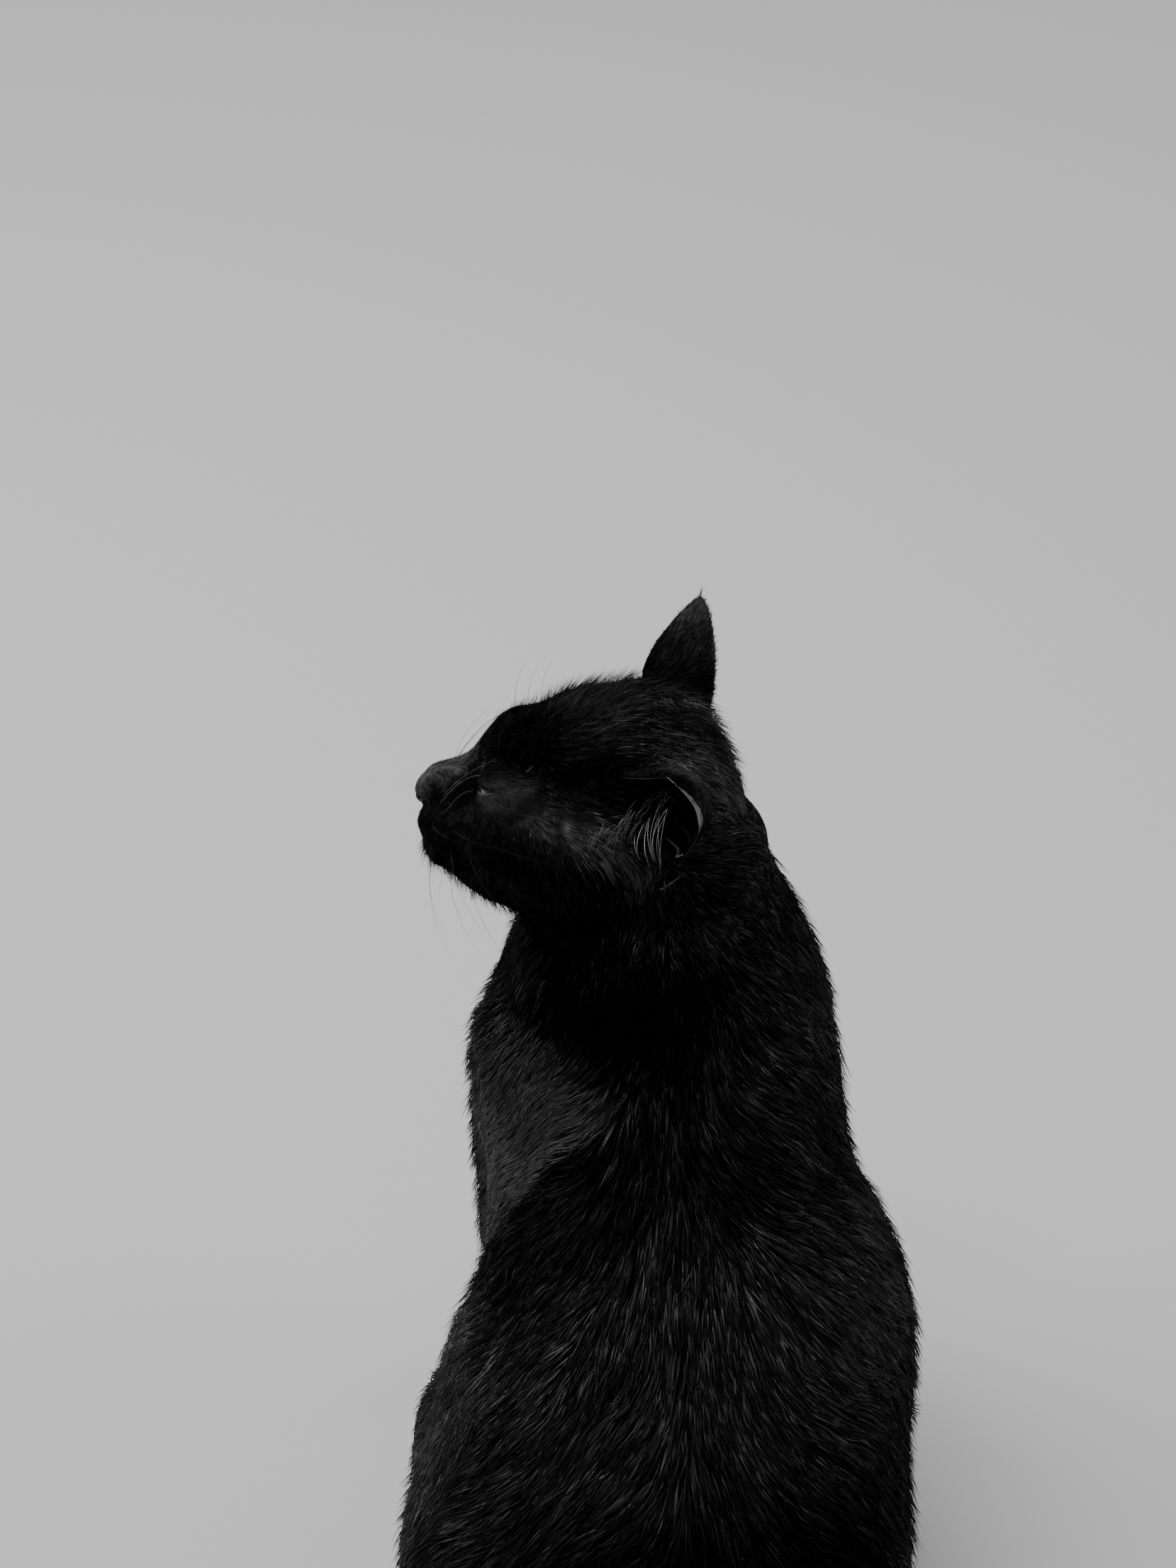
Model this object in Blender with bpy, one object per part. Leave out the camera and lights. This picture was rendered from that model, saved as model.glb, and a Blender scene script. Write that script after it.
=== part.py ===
"""A life-size house cat, sitting upright with its head turned to its left.

Run it with blender --background --python part.py, or from Blender's text editor.
Metres, +Z up. The body faces +Y and its left side is -X. The shapes are placed with x = 0
between the hips, and the finished model is moved so that its box stands on the origin.
The body is modelled whole, from lofts and ellipsoids that a voxel remesh joins. It is then
parted with thin cuts, so that head, neck, trunk, tail and legs are separate solids that
meet without touching. The ears, the eyes and the nose are made on their own.
"""

import math

import bmesh
import bpy
import numpy as np
from mathutils import Euler, Matrix, Vector

# ---------------------------------------------------------------- driving sizes
VOXEL = 0.0017  # grid on which the overlapping shapes become one body
GAP = 0.0003  # clearance left by every thin cut
BODY_FACES = 3840  # triangles of the whole body before it is parted
LEFT, RIGHT = -1, 1  # sign of x on each side of the body

HEAD_PIVOT = Vector((-0.004, 0.205, 0.324))  # midway between the ear canals
HEAD_TURN = math.radians(81)  # turned to the left from straight ahead
HEAD_PITCH = math.radians(4.6)  # nose up
HEAD_ROLL = math.radians(11)  # left cheek up
CHEST_TWIST = 18  # degrees by which the shoulders turn to the left
CHEST_AXIS = Vector((0.003, 0.165, 0))

EYE_RADIUS = 0.0098
EYE_CENTRE = Vector((0.0373, 0.0146, 0.0085))  # in the head's frame, left eye

LID = 0.0012  # thickness of the lids round the eyeball
GAZE = Vector((0.92, 0.38, 0.06))  # the way the left eye faces
SLIT = (0.0080, 0.0088, 0.0034)  # the lids' opening: depth, half width, half height
SLIT_TILT = 18  # degrees by which the inner corner sits lower

EAR_FRONT = Vector((0.0072, 0.0243, 0.0274))  # in the head's frame, left ear
EAR_TIP = Vector((-0.0070, 0.0495, 0.0465))
EAR_NOTCH = Vector((-0.0080, 0.0340, -0.0015))  # lower end of the rear rim
EAR_REAR = {1: Vector((-0.0305, 0.0385, 0.0280)), -1: Vector((-0.0178, 0.0375, 0.0280))}
EAR_BACK = Vector((-0.0130, -0.0110, 0.0080))  # bulge of the cup at its base
EAR_WALL = 0.0018

FUR = ((0.012, 0.012, 0.013), 0.55)  # colour and roughness
EYE = ((0.10, 0.085, 0.03), 0.08)
LEATHER = ((0.018, 0.017, 0.017), 0.45)


def head_frame():
    """Matrix from the head's frame (x to the nose, y to its left, z to the crown) to the model's."""
    turn = Matrix.Rotation(math.pi / 2 + HEAD_TURN, 4, "Z")
    pitch = Matrix.Rotation(-HEAD_PITCH, 4, "Y")
    roll = Matrix.Rotation(HEAD_ROLL, 4, "X")
    return Matrix.Translation(HEAD_PIVOT) @ turn @ pitch @ roll


def chest_frame(part=1.0):
    """Turn of the shoulders about an upright axis, or a part of that turn."""
    turn = Matrix.Rotation(math.radians(CHEST_TWIST * part), 4, "Z")
    return Matrix.Translation(CHEST_AXIS) @ turn @ Matrix.Translation(-CHEST_AXIS)


HEAD = head_frame()
CHEST = chest_frame()
LEGS = chest_frame(0.5)


# ---------------------------------------------------------------- shape tools
def object_of(builder, name):
    """Object made from a filled bmesh."""
    mesh = bpy.data.meshes.new(name)
    builder.to_mesh(mesh)
    builder.free()
    made = bpy.data.objects.new(name, mesh)
    bpy.context.scene.collection.objects.link(made)
    return made


def placing(centre, size, turn=(0, 0, 0), frame=None):
    """Matrix that scales, turns by Euler angles in degrees, moves, then goes into a frame."""
    turned = Euler([math.radians(a) for a in turn]).to_matrix().to_4x4()
    place = Matrix.Translation(centre) @ turned @ Matrix.Diagonal((*size, 1))
    return (frame or Matrix.Identity(4)) @ place


def ellipsoid(name, centre, radii, turn=(0, 0, 0), frame=None, rings=16):
    builder = bmesh.new()
    bmesh.ops.create_uvsphere(builder, u_segments=2 * rings, v_segments=rings, radius=1)
    builder.transform(placing(centre, radii, turn, frame))
    return object_of(builder, name)


def box(name, centre, size, turn=(0, 0, 0), frame=None):
    builder = bmesh.new()
    bmesh.ops.create_cube(builder, size=1)
    builder.transform(placing(centre, size, turn, frame))
    return object_of(builder, name)


def eased(rows, steps):
    """Catmull-Rom curve through rows of numbers, with that many steps between two rows."""
    rows = np.array(rows, float)
    padded = np.vstack([2 * rows[0] - rows[1], rows, 2 * rows[-1] - rows[-2]])
    found = []
    for a, b, c, d in zip(padded, padded[1:], padded[2:], padded[3:]):
        for t in np.arange(steps) / steps:
            even = 2 * b + (c - a) * t + (2 * a - 5 * b + 4 * c - d) * t**2
            found.append(0.5 * even + 0.5 * (3 * b - a - 3 * c + d) * t**3)
    return np.array(found + [rows[-1]])


def loft(name, stations, side=(1, 0, 0), frame=None, segments=28, steps=5):
    """Closed tube of elliptic rings. A station is (centre, half width along side, half depth)."""
    rows = eased([(*centre, width, depth) for centre, width, depth in stations], steps)
    along = np.gradient(rows[:, :3], axis=0)
    builder = bmesh.new()
    rings = []
    for (*centre, width, depth), way in zip(rows.tolist(), along.tolist()):
        way = Vector(way).normalized()
        across = Vector(side)
        across = (across - across.dot(way) * way).normalized()
        out = way.cross(across)
        ring = []
        for k in range(segments):
            angle = 2 * math.pi * k / segments
            place = Vector(centre) + width * math.cos(angle) * across
            ring.append(builder.verts.new(place + depth * math.sin(angle) * out))
        rings.append(ring)
    for low, high in zip(rings, rings[1:]):
        for k in range(segments):
            after = (k + 1) % segments
            builder.faces.new((low[k], low[after], high[after], high[k]))
    builder.faces.new(rings[0][::-1])
    builder.faces.new(rings[-1])
    if frame:
        builder.transform(frame)
    bmesh.ops.recalc_face_normals(builder, faces=builder.faces)
    return object_of(builder, name)


def applied(thing):
    """Replaces an object's mesh by what its modifiers make of it."""
    bpy.context.view_layer.update()
    graph = bpy.context.evaluated_depsgraph_get()
    mesh = bpy.data.meshes.new_from_object(thing.evaluated_get(graph))
    thing.modifiers.clear()
    thing.data = mesh
    return thing


def cut(thing, cutter, operation="DIFFERENCE", keep=False):
    """Applies one Boolean, and removes the cutter unless it is kept. The exact solver fails on
    some of these many-sided cuts, so all of them use the manifold one."""
    step = thing.modifiers.new(operation, "BOOLEAN")
    step.operation = operation
    step.object = cutter
    step.solver = "MANIFOLD"
    applied(thing)
    if not keep:
        bpy.data.objects.remove(cutter)
    return thing


def copy_of(thing, name):
    made = thing.copy()
    made.data = thing.data.copy()
    made.name = name
    bpy.context.scene.collection.objects.link(made)
    return made


def joined(things, name):
    """One object that holds the meshes of all of them, still as separate shells."""
    builder = bmesh.new()
    for thing in things:
        builder.from_mesh(thing.data)
        bpy.data.objects.remove(thing)
    return object_of(builder, name)


# ---------------------------------------------------------------- the body's shapes
def trunk_shapes():
    """Spine from the rump to the nape, then the shoulder blades, the chest and the ribs."""
    spine = [
        ((0.000, 0.024, 0.026), 0.034, 0.018),
        ((0.000, 0.038, 0.058), 0.069, 0.043),
        ((0.0010, 0.066, 0.100), 0.0820, 0.058),
        ((0.0065, 0.096, 0.140), 0.079, 0.062),
        ((0.0125, 0.124, 0.176), 0.0735, 0.061),
        ((0.0065, 0.150, 0.210), 0.0585, 0.055),
        ((0.0032, 0.172, 0.244), 0.0560, 0.051),
        ((0.003, 0.188, 0.274), 0.0503, 0.046),
        ((0.004, 0.199, 0.302), 0.0355, 0.040),
        ((0.006, 0.204, 0.322), 0.026, 0.033),
    ]
    shapes = [loft("spine", spine)]
    breast = (0.004, 0.198, 0.206)
    shapes.append(ellipsoid("breast", breast, (0.038, 0.042, 0.058), (-12, 0, 0), CHEST))
    shapes.append(ellipsoid("belly", (0.004, 0.110, 0.105), (0.060, 0.052, 0.062)))
    shapes.append(ellipsoid("rump", (0, 0.046, 0.034), (0.054, 0.040, 0.036)))
    for side in (LEFT, RIGHT):
        blade = (side * 0.034, 0.168, 0.220)
        turn = (-24, side * 10, 0)
        shapes.append(ellipsoid("blade", blade, (0.019, 0.035, 0.056), turn, CHEST))
    return shapes


def toe_shapes(x, y, z, frame=None):
    """Four toes in an arc at the front of a paw."""
    shapes = []
    for k in range(4):
        across = (k - 1.5) * 0.0082
        back = 0.0040 * (abs(k - 1.5) - 0.5)
        centre = (x + across, y - back, z)
        shapes.append(ellipsoid("toe", centre, (0.0053, 0.0112, 0.0096), (0, 0, 0), frame, 10))
    return shapes


def foreleg_shapes(side):
    column = [
        ((side * 0.031, 0.190, 0.240), 0.0120, 0.022),
        ((side * 0.035, 0.192, 0.212), 0.0175, 0.031),
        ((side * 0.036, 0.186, 0.178), 0.0185, 0.031),
        ((side * 0.035, 0.182, 0.145), 0.0180, 0.026),
        ((side * 0.031, 0.186, 0.105), 0.0150, 0.0190),
        ((side * 0.026, 0.192, 0.065), 0.0128, 0.0148),
        ((side * 0.023, 0.197, 0.035), 0.0130, 0.0140),
        ((side * 0.022, 0.201, 0.016), 0.0155, 0.0155),
    ]
    shapes = [loft("foreleg", column, frame=LEGS)]
    paw = (side * 0.022, 0.213, 0.0118)
    shapes.append(ellipsoid("forepaw", paw, (0.0172, 0.0225, 0.0132), (0, 0, 0), LEGS))
    return shapes + toe_shapes(side * 0.022, 0.225, 0.0086, LEGS)


def hindleg_shapes(side):
    haunch = (side * 0.046, 0.078, 0.076)
    shapes = [ellipsoid("haunch", haunch, (0.034, 0.068, 0.060), (38, 0, side * -6))]
    knee = (side * 0.058, 0.124, 0.094)
    shapes.append(ellipsoid("knee", knee, (0.023, 0.033, 0.038), (20, 0, 0)))
    shin = [
        ((side * 0.058, 0.130, 0.080), 0.020, 0.026),
        ((side * 0.058, 0.096, 0.050), 0.018, 0.024),
        ((side * 0.054, 0.056, 0.026), 0.015, 0.018),
    ]
    shapes.append(loft("shin", shin))
    foot = [
        ((side * 0.050, 0.030, 0.018), 0.0110, 0.0140),
        ((side * 0.052, 0.056, 0.0145), 0.0140, 0.0140),
        ((side * 0.056, 0.100, 0.0130), 0.0152, 0.0135),
        ((side * 0.060, 0.136, 0.0122), 0.0165, 0.0130),
        ((side * 0.061, 0.150, 0.0115), 0.0160, 0.0120),
    ]
    shapes.append(loft("hindfoot", foot))
    return shapes + toe_shapes(side * 0.061, 0.156, 0.0086)


def tail_shapes():
    path = [
        ((0.000, 0.046, 0.050), 0.0180),
        ((0.002, 0.008, 0.025), 0.0160),
        ((0.018, -0.024, 0.0142), 0.0148),
        ((0.051, -0.043, 0.0138), 0.0144),
        ((0.090, -0.038, 0.0134), 0.0140),
        ((0.119, -0.012, 0.0130), 0.0136),
        ((0.131, 0.026, 0.0126), 0.0132),
        ((0.128, 0.062, 0.0114), 0.0122),
        ((0.119, 0.088, 0.0096), 0.0104),
        ((0.113, 0.100, 0.0070), 0.0076),
    ]
    return [loft("tail", [(centre, r, r) for centre, r in path], side=(0.05, 0.03, 1))]


def head_shapes():
    """Skull, cheeks, muzzle and jaw, in the head's frame."""
    shapes = [
        ellipsoid("cranium", (0.0028, 0, 0.0060), (0.0308, 0.0330, 0.0325), (0, 6, 0), HEAD),
        ellipsoid("crown", (0.0150, 0, 0.0110), (0.0230, 0.0260, 0.0255), (0, 10, 0), HEAD),
        ellipsoid("forehead", (0.0265, 0, 0.0025), (0.0260, 0.0240, 0.0260), (0, 4, 0), HEAD),
        ellipsoid("throat", (0.010, 0, -0.0200), (0.0340, 0.0270, 0.0190), (0, 4, 0), HEAD),
        ellipsoid("chin", (0.0528, 0, -0.0240), (0.0118, 0.0105, 0.0090), (0, 0, 0), HEAD),
    ]
    bridge = [
        ((0.030, 0, 0.0060), 0.0130, 0.0120),
        ((0.044, 0, 0.0025), 0.0100, 0.0098),
        ((0.056, 0, -0.0025), 0.0082, 0.0080),
        ((0.0630, 0, -0.0060), 0.0062, 0.0064),
    ]
    shapes.append(loft("bridge", bridge, side=(0, 1, 0), frame=HEAD))
    x, y, z = EYE_CENTRE
    for side in (1, -1):
        lids = [EYE_RADIUS + LID] * 3
        shapes.append(ellipsoid("lids", (x, side * y, z), lids, (0, 0, 0), HEAD))
        parts = (
            ("cheek", (0.0130, 0.0210, -0.0080), (0.0260, 0.0180, 0.0190), (0, 6, side * -8)),
            ("cheekbone", (0.0340, 0.0190, -0.0060), (0.0160, 0.0105, 0.0105), (0, 10, side * -24)),
            ("brow", (0.0370, 0.0155, 0.0112), (0.0122, 0.0095, 0.0066), (0, 12, side * -30)),
            ("pad", (0.0532, 0.0082, -0.0116), (0.0118, 0.0102, 0.0090), (0, 10, side * -14)),
            ("jaw", (0.0320, 0.0130, -0.0222), (0.0260, 0.0120, 0.0112), (0, 0, side * -18)),
        )
        for name, (x, y, z), radii, turn in parts:
            shapes.append(ellipsoid(name, (x, side * y, z), radii, turn, HEAD))
    return shapes


def whole_body():
    """One closed, softened body of head, neck, trunk, legs and tail, flat where it rests."""
    shapes = trunk_shapes() + tail_shapes() + head_shapes()
    for side in (LEFT, RIGHT):
        shapes += foreleg_shapes(side) + hindleg_shapes(side)
    body = joined(shapes, "body")
    remesh = body.modifiers.new("one skin", "REMESH")
    remesh.mode = "VOXEL"
    remesh.voxel_size = VOXEL
    applied(body)
    to_head = HEAD.inverted()
    soft = body.vertex_groups.new(name="soft")
    for vertex in body.data.vertices:
        place = to_head @ vertex.co
        behind = min(max((-0.010 - place.x) / 0.03, 0), 1)
        below = min(max((-0.036 - place.z) / 0.012, 0), 1)
        far = 1 if place.length > 0.085 else 0
        above_paws = min(max((vertex.co.z - 0.022) / 0.03, 0), 1)
        soft.add([vertex.index], min(max(behind, below, far), above_paws), "REPLACE")
    even = body.modifiers.new("even", "SMOOTH")
    even.factor, even.iterations = 0.5, 5
    round_off = body.modifiers.new("round off", "SMOOTH")
    round_off.factor, round_off.iterations, round_off.vertex_group = 0.5, 60, "soft"
    applied(body)
    body.data.calc_loop_triangles()
    coarse = body.modifiers.new("coarse", "DECIMATE")
    coarse.ratio = BODY_FACES / len(body.data.loop_triangles)
    applied(body)
    return cut(body, box("floor", (0.0, 0.1, -0.05), (0.6, 0.6, 0.1)))


def ear(name, side):
    """Cupped ear: rows from its front rim round its back to its rear rim, from base to tip."""
    rows, ribs = 8, 10
    builder = bmesh.new()
    grid = []
    for i in range(-1, rows + 1):
        t = max(i, 0) / rows
        bow = 4 * t * (1 - t)
        front = EAR_FRONT.lerp(EAR_TIP, t) + bow * Vector((0.0030, 0.0014, -0.0006))
        low, high = EAR_NOTCH.lerp(EAR_REAR[side], t), EAR_REAR[side].lerp(EAR_TIP, t)
        rear = low.lerp(high, t)
        bulge = EAR_BACK * (1 - t) ** 0.85
        row = []
        for k in range(ribs + 1):
            s = k / ribs
            round_back = math.sin(math.pi * s) ** 0.75
            place = front.lerp(rear, s) + bulge * round_back
            place = place * 0.80 if i < 0 else place
            row.append(builder.verts.new(HEAD @ Vector((place.x, side * place.y, place.z))))
        grid.append(row)
    for low, high in zip(grid, grid[1:]):
        for k in range(ribs):
            builder.faces.new((low[k], low[k + 1], high[k + 1], high[k]))
    bmesh.ops.remove_doubles(builder, verts=builder.verts, dist=0.0002)
    made = object_of(builder, name)
    wall = made.modifiers.new("wall", "SOLIDIFY")
    wall.thickness = EAR_WALL
    wall.offset = 0
    applied(made)
    builder = bmesh.new()
    builder.from_mesh(made.data)
    bmesh.ops.recalc_face_normals(builder, faces=builder.faces)
    builder.to_mesh(made.data)
    builder.free()
    return made


def eye_place(side):
    """Frame at an eye's centre, x along its gaze, y along the slit towards the temple."""
    x, y, z = EYE_CENTRE
    gaze = Vector((GAZE.x, side * GAZE.y, GAZE.z)).normalized()
    tilt = math.radians(SLIT_TILT)
    out = Vector((0, side * math.cos(tilt), math.sin(tilt)))
    out = (out - out.dot(gaze) * gaze).normalized()
    rows = Matrix((gaze, out, gaze.cross(out))).transposed().to_4x4()
    return HEAD @ Matrix.Translation((x, side * y, z)) @ rows


def largest_piece(thing):
    """Drops the crumbs that a cut can leave beside the piece itself."""
    builder = bmesh.new()
    builder.from_mesh(thing.data)
    left, pieces = set(builder.verts), []
    while left:
        edge = [left.pop()]
        piece = list(edge)
        while edge:
            beside = {e.other_vert(v) for v in edge for e in v.link_edges} & left
            left -= beside
            edge = list(beside)
            piece += edge
        pieces.append(piece)
    pieces.sort(key=len)
    for crumb in pieces[:-1]:
        bmesh.ops.delete(builder, geom=crumb, context="VERTS")
    builder.to_mesh(thing.data)
    builder.free()
    return thing


def part_off(body, name, centre, size, turn=(0, 0, 0), frame=None):
    """Cuts the piece inside a box off the body, with a gap round the cut."""
    piece = copy_of(body, name)
    cut(piece, box("inside", centre, size, turn, frame), "INTERSECT")
    wider = [length + 2 * GAP for length in size]
    cut(body, box("outside", centre, wider, turn, frame))
    return largest_piece(piece)


def part_body(body):
    """Parts the whole body into the pieces a person would name. The rest is the trunk."""
    part_off(body, "tail_tip", (0.205, 0.062, 0.03), (0.2, 0.1, 0.08))
    part_off(body, "tail_middle", (0.134, -0.0762, 0.03), (0.4, 0.2, 0.08), (0, 0, 32.7))
    part_off(body, "tail_base", (0, -0.098, 0.03), (0.4, 0.2, 0.08))
    for side, name in ((LEFT, "left"), (RIGHT, "right")):
        paw = ((side * 0.0245, 0.225, 0.014), (0.047, 0.086, 0.036))
        part_off(body, "forepaw_" + name, *paw, (0, 0, 0), LEGS)
        leg = ((side * 0.044, 0.2155, 0.091), (0.080, 0.10, 0.118))
        part_off(body, "foreleg_" + name, *leg, (0, 0, 0), LEGS)
        foot = ((side * 0.075, 0.1075, 0.0135), (0.076, 0.195, 0.027))
        part_off(body, "hindfoot_" + name, *foot)
        thigh = ((side * 0.100, 0.100, 0.060), (0.104, 0.19, 0.130))
        part_off(body, "hindleg_" + name, *thigh)
    part_off(body, "head", (-0.0342, 0.205, 0.392), (0.4, 0.3, 0.2), (0, -20, 0))
    part_off(body, "neck", (0.003, 0.229, 0.350), (0.4, 0.4, 0.2), (-28, 0, 0))
    part_off(body, "chest", (0.008, 0.197, 0.273), (0.4, 0.4, 0.2), (-28, 0, 0))
    body.name = "trunk"
    largest_piece(body)


def material(name, colour, roughness):
    made = bpy.data.materials.new(name)
    made.use_nodes = True
    shader = made.node_tree.nodes["Principled BSDF"]
    shader.inputs["Base Color"].default_value = (*colour, 1)
    shader.inputs["Roughness"].default_value = roughness
    shader.inputs["Metallic"].default_value = 0
    return made


def dress(things):
    """Gives each piece a material of its own, smooth faces, and the origin under the box."""
    corners = np.array([v.co[:] for thing in things for v in thing.data.vertices])
    low, high = corners.min(axis=0), corners.max(axis=0)
    middle = Vector((*((low + high) / 2)[:2].tolist(), 0))
    for thing in things:
        thing.data.transform(Matrix.Translation(-middle))
        colour, roughness = FUR
        if thing.name.startswith("eye"):
            colour, roughness = EYE
        elif thing.name == "nose":
            colour, roughness = LEATHER
        thing.data.materials.clear()
        thing.data.materials.append(material(thing.name, colour, roughness))
        thing.data.shade_smooth()
        thing.data.set_sharp_from_angle(angle=math.radians(40))


def main():
    for thing in list(bpy.data.objects):
        bpy.data.objects.remove(thing)
    body = whole_body()
    for name, side in (("eye_left", 1), ("eye_right", -1)):
        place = eye_place(side)
        ellipsoid(name, (0, 0, 0), [EYE_RADIUS] * 3, (0, 90, 0), place, 8)
        ball = [EYE_RADIUS + GAP] * 3
        cut(body, ellipsoid("socket", (0, 0, 0), ball, (0, 90, 0), place, 9))
        cut(body, ellipsoid("slit", (EYE_RADIUS, 0, 0), SLIT, (0, 0, 0), place, 8))
    nose = ((0.0638, 0, -0.0058), (0.0044, 0.0064, 0.0052))
    cut(body, ellipsoid("bed", nose[0], [r + GAP for r in nose[1]], (0, 12, 0), HEAD, 8))
    ellipsoid("nose", *nose, (0, 12, 0), HEAD, 7)
    swollen = copy_of(body, "swollen")
    swell = swollen.modifiers.new("swell", "DISPLACE")
    swell.strength, swell.mid_level = GAP, 0
    applied(swollen)
    for name, side in (("ear_left", 1), ("ear_right", -1)):
        largest_piece(cut(ear(name, side), swollen, keep=True))
    bpy.data.objects.remove(swollen)
    part_body(body)
    dress([thing for thing in bpy.data.objects if thing.type == "MESH"])


if __name__ == "__main__":
    main()
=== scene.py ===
"""A life-size black short-haired cat, sitting with its head turned to its left.

Metres, +Z up. The body faces +Y and its left side is -X. One skin is grown from the solids
of flesh and lies under them by the depth of the coat. Tufts of hair stand on the skin and
follow the lie of the coat, from the nose back over the body to the toes and the tail's tip.
"""

import heapq
import math

import bmesh
import bpy
import numpy as np
from mathutils import Matrix, Vector
from mathutils.bvhtree import BVHTree
from mathutils.kdtree import KDTree


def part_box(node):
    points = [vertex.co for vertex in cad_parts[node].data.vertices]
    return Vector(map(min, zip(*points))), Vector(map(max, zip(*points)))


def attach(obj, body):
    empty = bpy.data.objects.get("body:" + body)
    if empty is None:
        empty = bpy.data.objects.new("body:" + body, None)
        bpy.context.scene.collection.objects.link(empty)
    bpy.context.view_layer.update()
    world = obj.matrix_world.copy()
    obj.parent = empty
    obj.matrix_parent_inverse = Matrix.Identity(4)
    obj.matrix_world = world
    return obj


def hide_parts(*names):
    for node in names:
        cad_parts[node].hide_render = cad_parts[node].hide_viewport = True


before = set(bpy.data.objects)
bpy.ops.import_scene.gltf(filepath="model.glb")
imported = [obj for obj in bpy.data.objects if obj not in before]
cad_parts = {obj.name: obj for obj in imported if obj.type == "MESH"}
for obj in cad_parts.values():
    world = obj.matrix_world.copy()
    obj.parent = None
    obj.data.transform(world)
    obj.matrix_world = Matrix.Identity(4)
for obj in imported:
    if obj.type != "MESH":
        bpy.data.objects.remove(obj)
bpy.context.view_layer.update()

# ---- the head's frame
HEAD_TURN, HEAD_PITCH, HEAD_ROLL = math.radians(81), math.radians(4.6), math.radians(11)
SOCKET_RADIUS = 0.0098
EYE_CENTRE = Vector((0.0373, 0.0146, 0.0085))  # left socket, from midway between the ears
SOCKET_PLUG = SOCKET_RADIUS - 0.0006  # radius of the ball that fills it
EYE_RADIUS = 0.0090
BALL_CENTRE = Vector((0.0373, 0.0136, 0.0077))  # left eyeball, deeper than its socket's middle
GAZE = Vector((0.92, 0.38, 0.06))  # the way the left eye faces
SLIT_TILT = math.radians(26)  # the eye's inner corner sits this much lower
SLIT_MIDDLE, SLIT_RISE = -0.0008, 0.0002  # the opening's middle, along the slit and above the gaze
SLIT_WIDE, LID_UP, LID_LOW = 0.0076, 0.0008, 0.0011  # reach of the opening from its middle
NOSE_CENTRE = Vector((0.0638, 0, -0.0058))
NOSE_PLUG = (0.0036, 0.0056, 0.0044)  # radii of the ball behind the pad
# millimetres, left ear: the rim's ends, the bow of its front and the pull of its rear
EAR_FRONT, EAR_TIP, EAR_NOTCH = (7.2, 24.3, 27.4), (-7.0, 49.5, 46.5), (-8.0, 34.0, -1.5)
EAR_BOW = (3.0, 1.4, -0.6)
EAR_REAR = {1: (-30.5, 38.5, 28.0), -1: (-17.8, 37.5, 28.0)}
EAR_OPEN = Vector((0.62, 0.66, -0.38))  # the way the left ear's cup faces


def head_frame():
    """Matrix from the head's frame (x to the nose, y to its left, z to the crown)."""
    turn = Matrix.Rotation(math.pi / 2 + HEAD_TURN, 4, "Z")
    pitch = Matrix.Rotation(-HEAD_PITCH, 4, "Y")
    roll = Matrix.Rotation(HEAD_ROLL, 4, "X")
    level = turn @ pitch @ roll
    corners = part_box("eye_left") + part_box("eye_right")
    between = sum(corners, Vector()) / 4
    middle = Vector((EYE_CENTRE.x, 0, EYE_CENTRE.z))
    return Matrix.Translation(between - level.to_3x3() @ middle) @ level


HEAD = head_frame()
SKULL = (0.008, 0.0, -0.004)  # middle of the skull, in the head's frame
HEAD_REACH = 0.09  # the head is within this of midway between the ears
TO_HEAD = HEAD.inverted()
SIDES = (("left", 1), ("right", -1))  # the head's y on each side

# ---- the coat, by node
# depth of the coat, hair length, hair width, all in millimetres; rounds of smoothing
COAT = {
    "head": (1.5, 8.5, 0.32, 3),
    "neck": (4.0, 13.0, 0.42, 40),
    "chest": (4.6, 16.0, 0.46, 40),
    "trunk": (5.2, 18.0, 0.50, 40),
    "tail_base": (3.4, 12.0, 0.48, 30),
    "tail_middle": (3.0, 11.5, 0.48, 30),
    "tail_tip": (2.6, 10.0, 0.46, 20),
}
for limb, row in (
    ("ear", (0.6, 3.2, 0.22, 1)),
    ("hindleg", (3.4, 14.0, 0.56, 30)),
    ("foreleg", (2.2, 8.5, 0.40, 20)),
    ("forepaw", (0.9, 4.2, 0.30, 3)),
    ("hindfoot", (1.1, 5.0, 0.32, 4)),
):
    COAT[limb + "_left"] = COAT[limb + "_right"] = row
FLESH = sorted(COAT)
COAT_TABLE = np.array([COAT[name] for name in FLESH])
FEET = ("forepaw_left", "forepaw_right", "hindfoot_left", "hindfoot_right")
SKIN_VOXEL = 0.00125
GROW = 0.0003  # each solid swells this much, so that the thin gaps between them close
SKIN_FACES = 180000


def deselect():
    for thing in bpy.context.selected_objects:
        thing.select_set(False)


def active(thing):
    deselect()
    bpy.context.view_layer.objects.active = thing
    thing.select_set(True)
    return thing


def put_points(mesh, points):
    mesh.vertices.foreach_set("co", np.asarray(points, np.float32).ravel())


def put_tone(thing, tones):
    """How light each point is, for the materials."""
    layer = thing.data.attributes.new("tone", "FLOAT", "POINT")
    layer.data.foreach_set("value", tones.astype(np.float32).ravel())


def ball(segments, rings, radius=1):
    deselect()
    bpy.ops.mesh.primitive_uv_sphere_add(segments=segments, ring_count=rings, radius=radius)
    return bpy.context.object


def linked(name, data):
    made = bpy.data.objects.new(name, data)
    bpy.context.scene.collection.objects.link(made)
    return made


def object_of(name, points, faces):
    """A mesh object from arrays of points and of equal-sided faces."""
    mesh = bpy.data.meshes.new(name)
    count, sides = faces.shape
    mesh.vertices.add(len(points))
    put_points(mesh, points)
    mesh.loops.add(count * sides)
    mesh.loops.foreach_set("vertex_index", faces.ravel().astype(np.int32))
    mesh.polygons.add(count)
    mesh.polygons.foreach_set("loop_start", np.arange(0, count * sides, sides, np.int32))
    mesh.update(calc_edges=True)
    mesh.validate()
    return linked(name, mesh)


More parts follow.
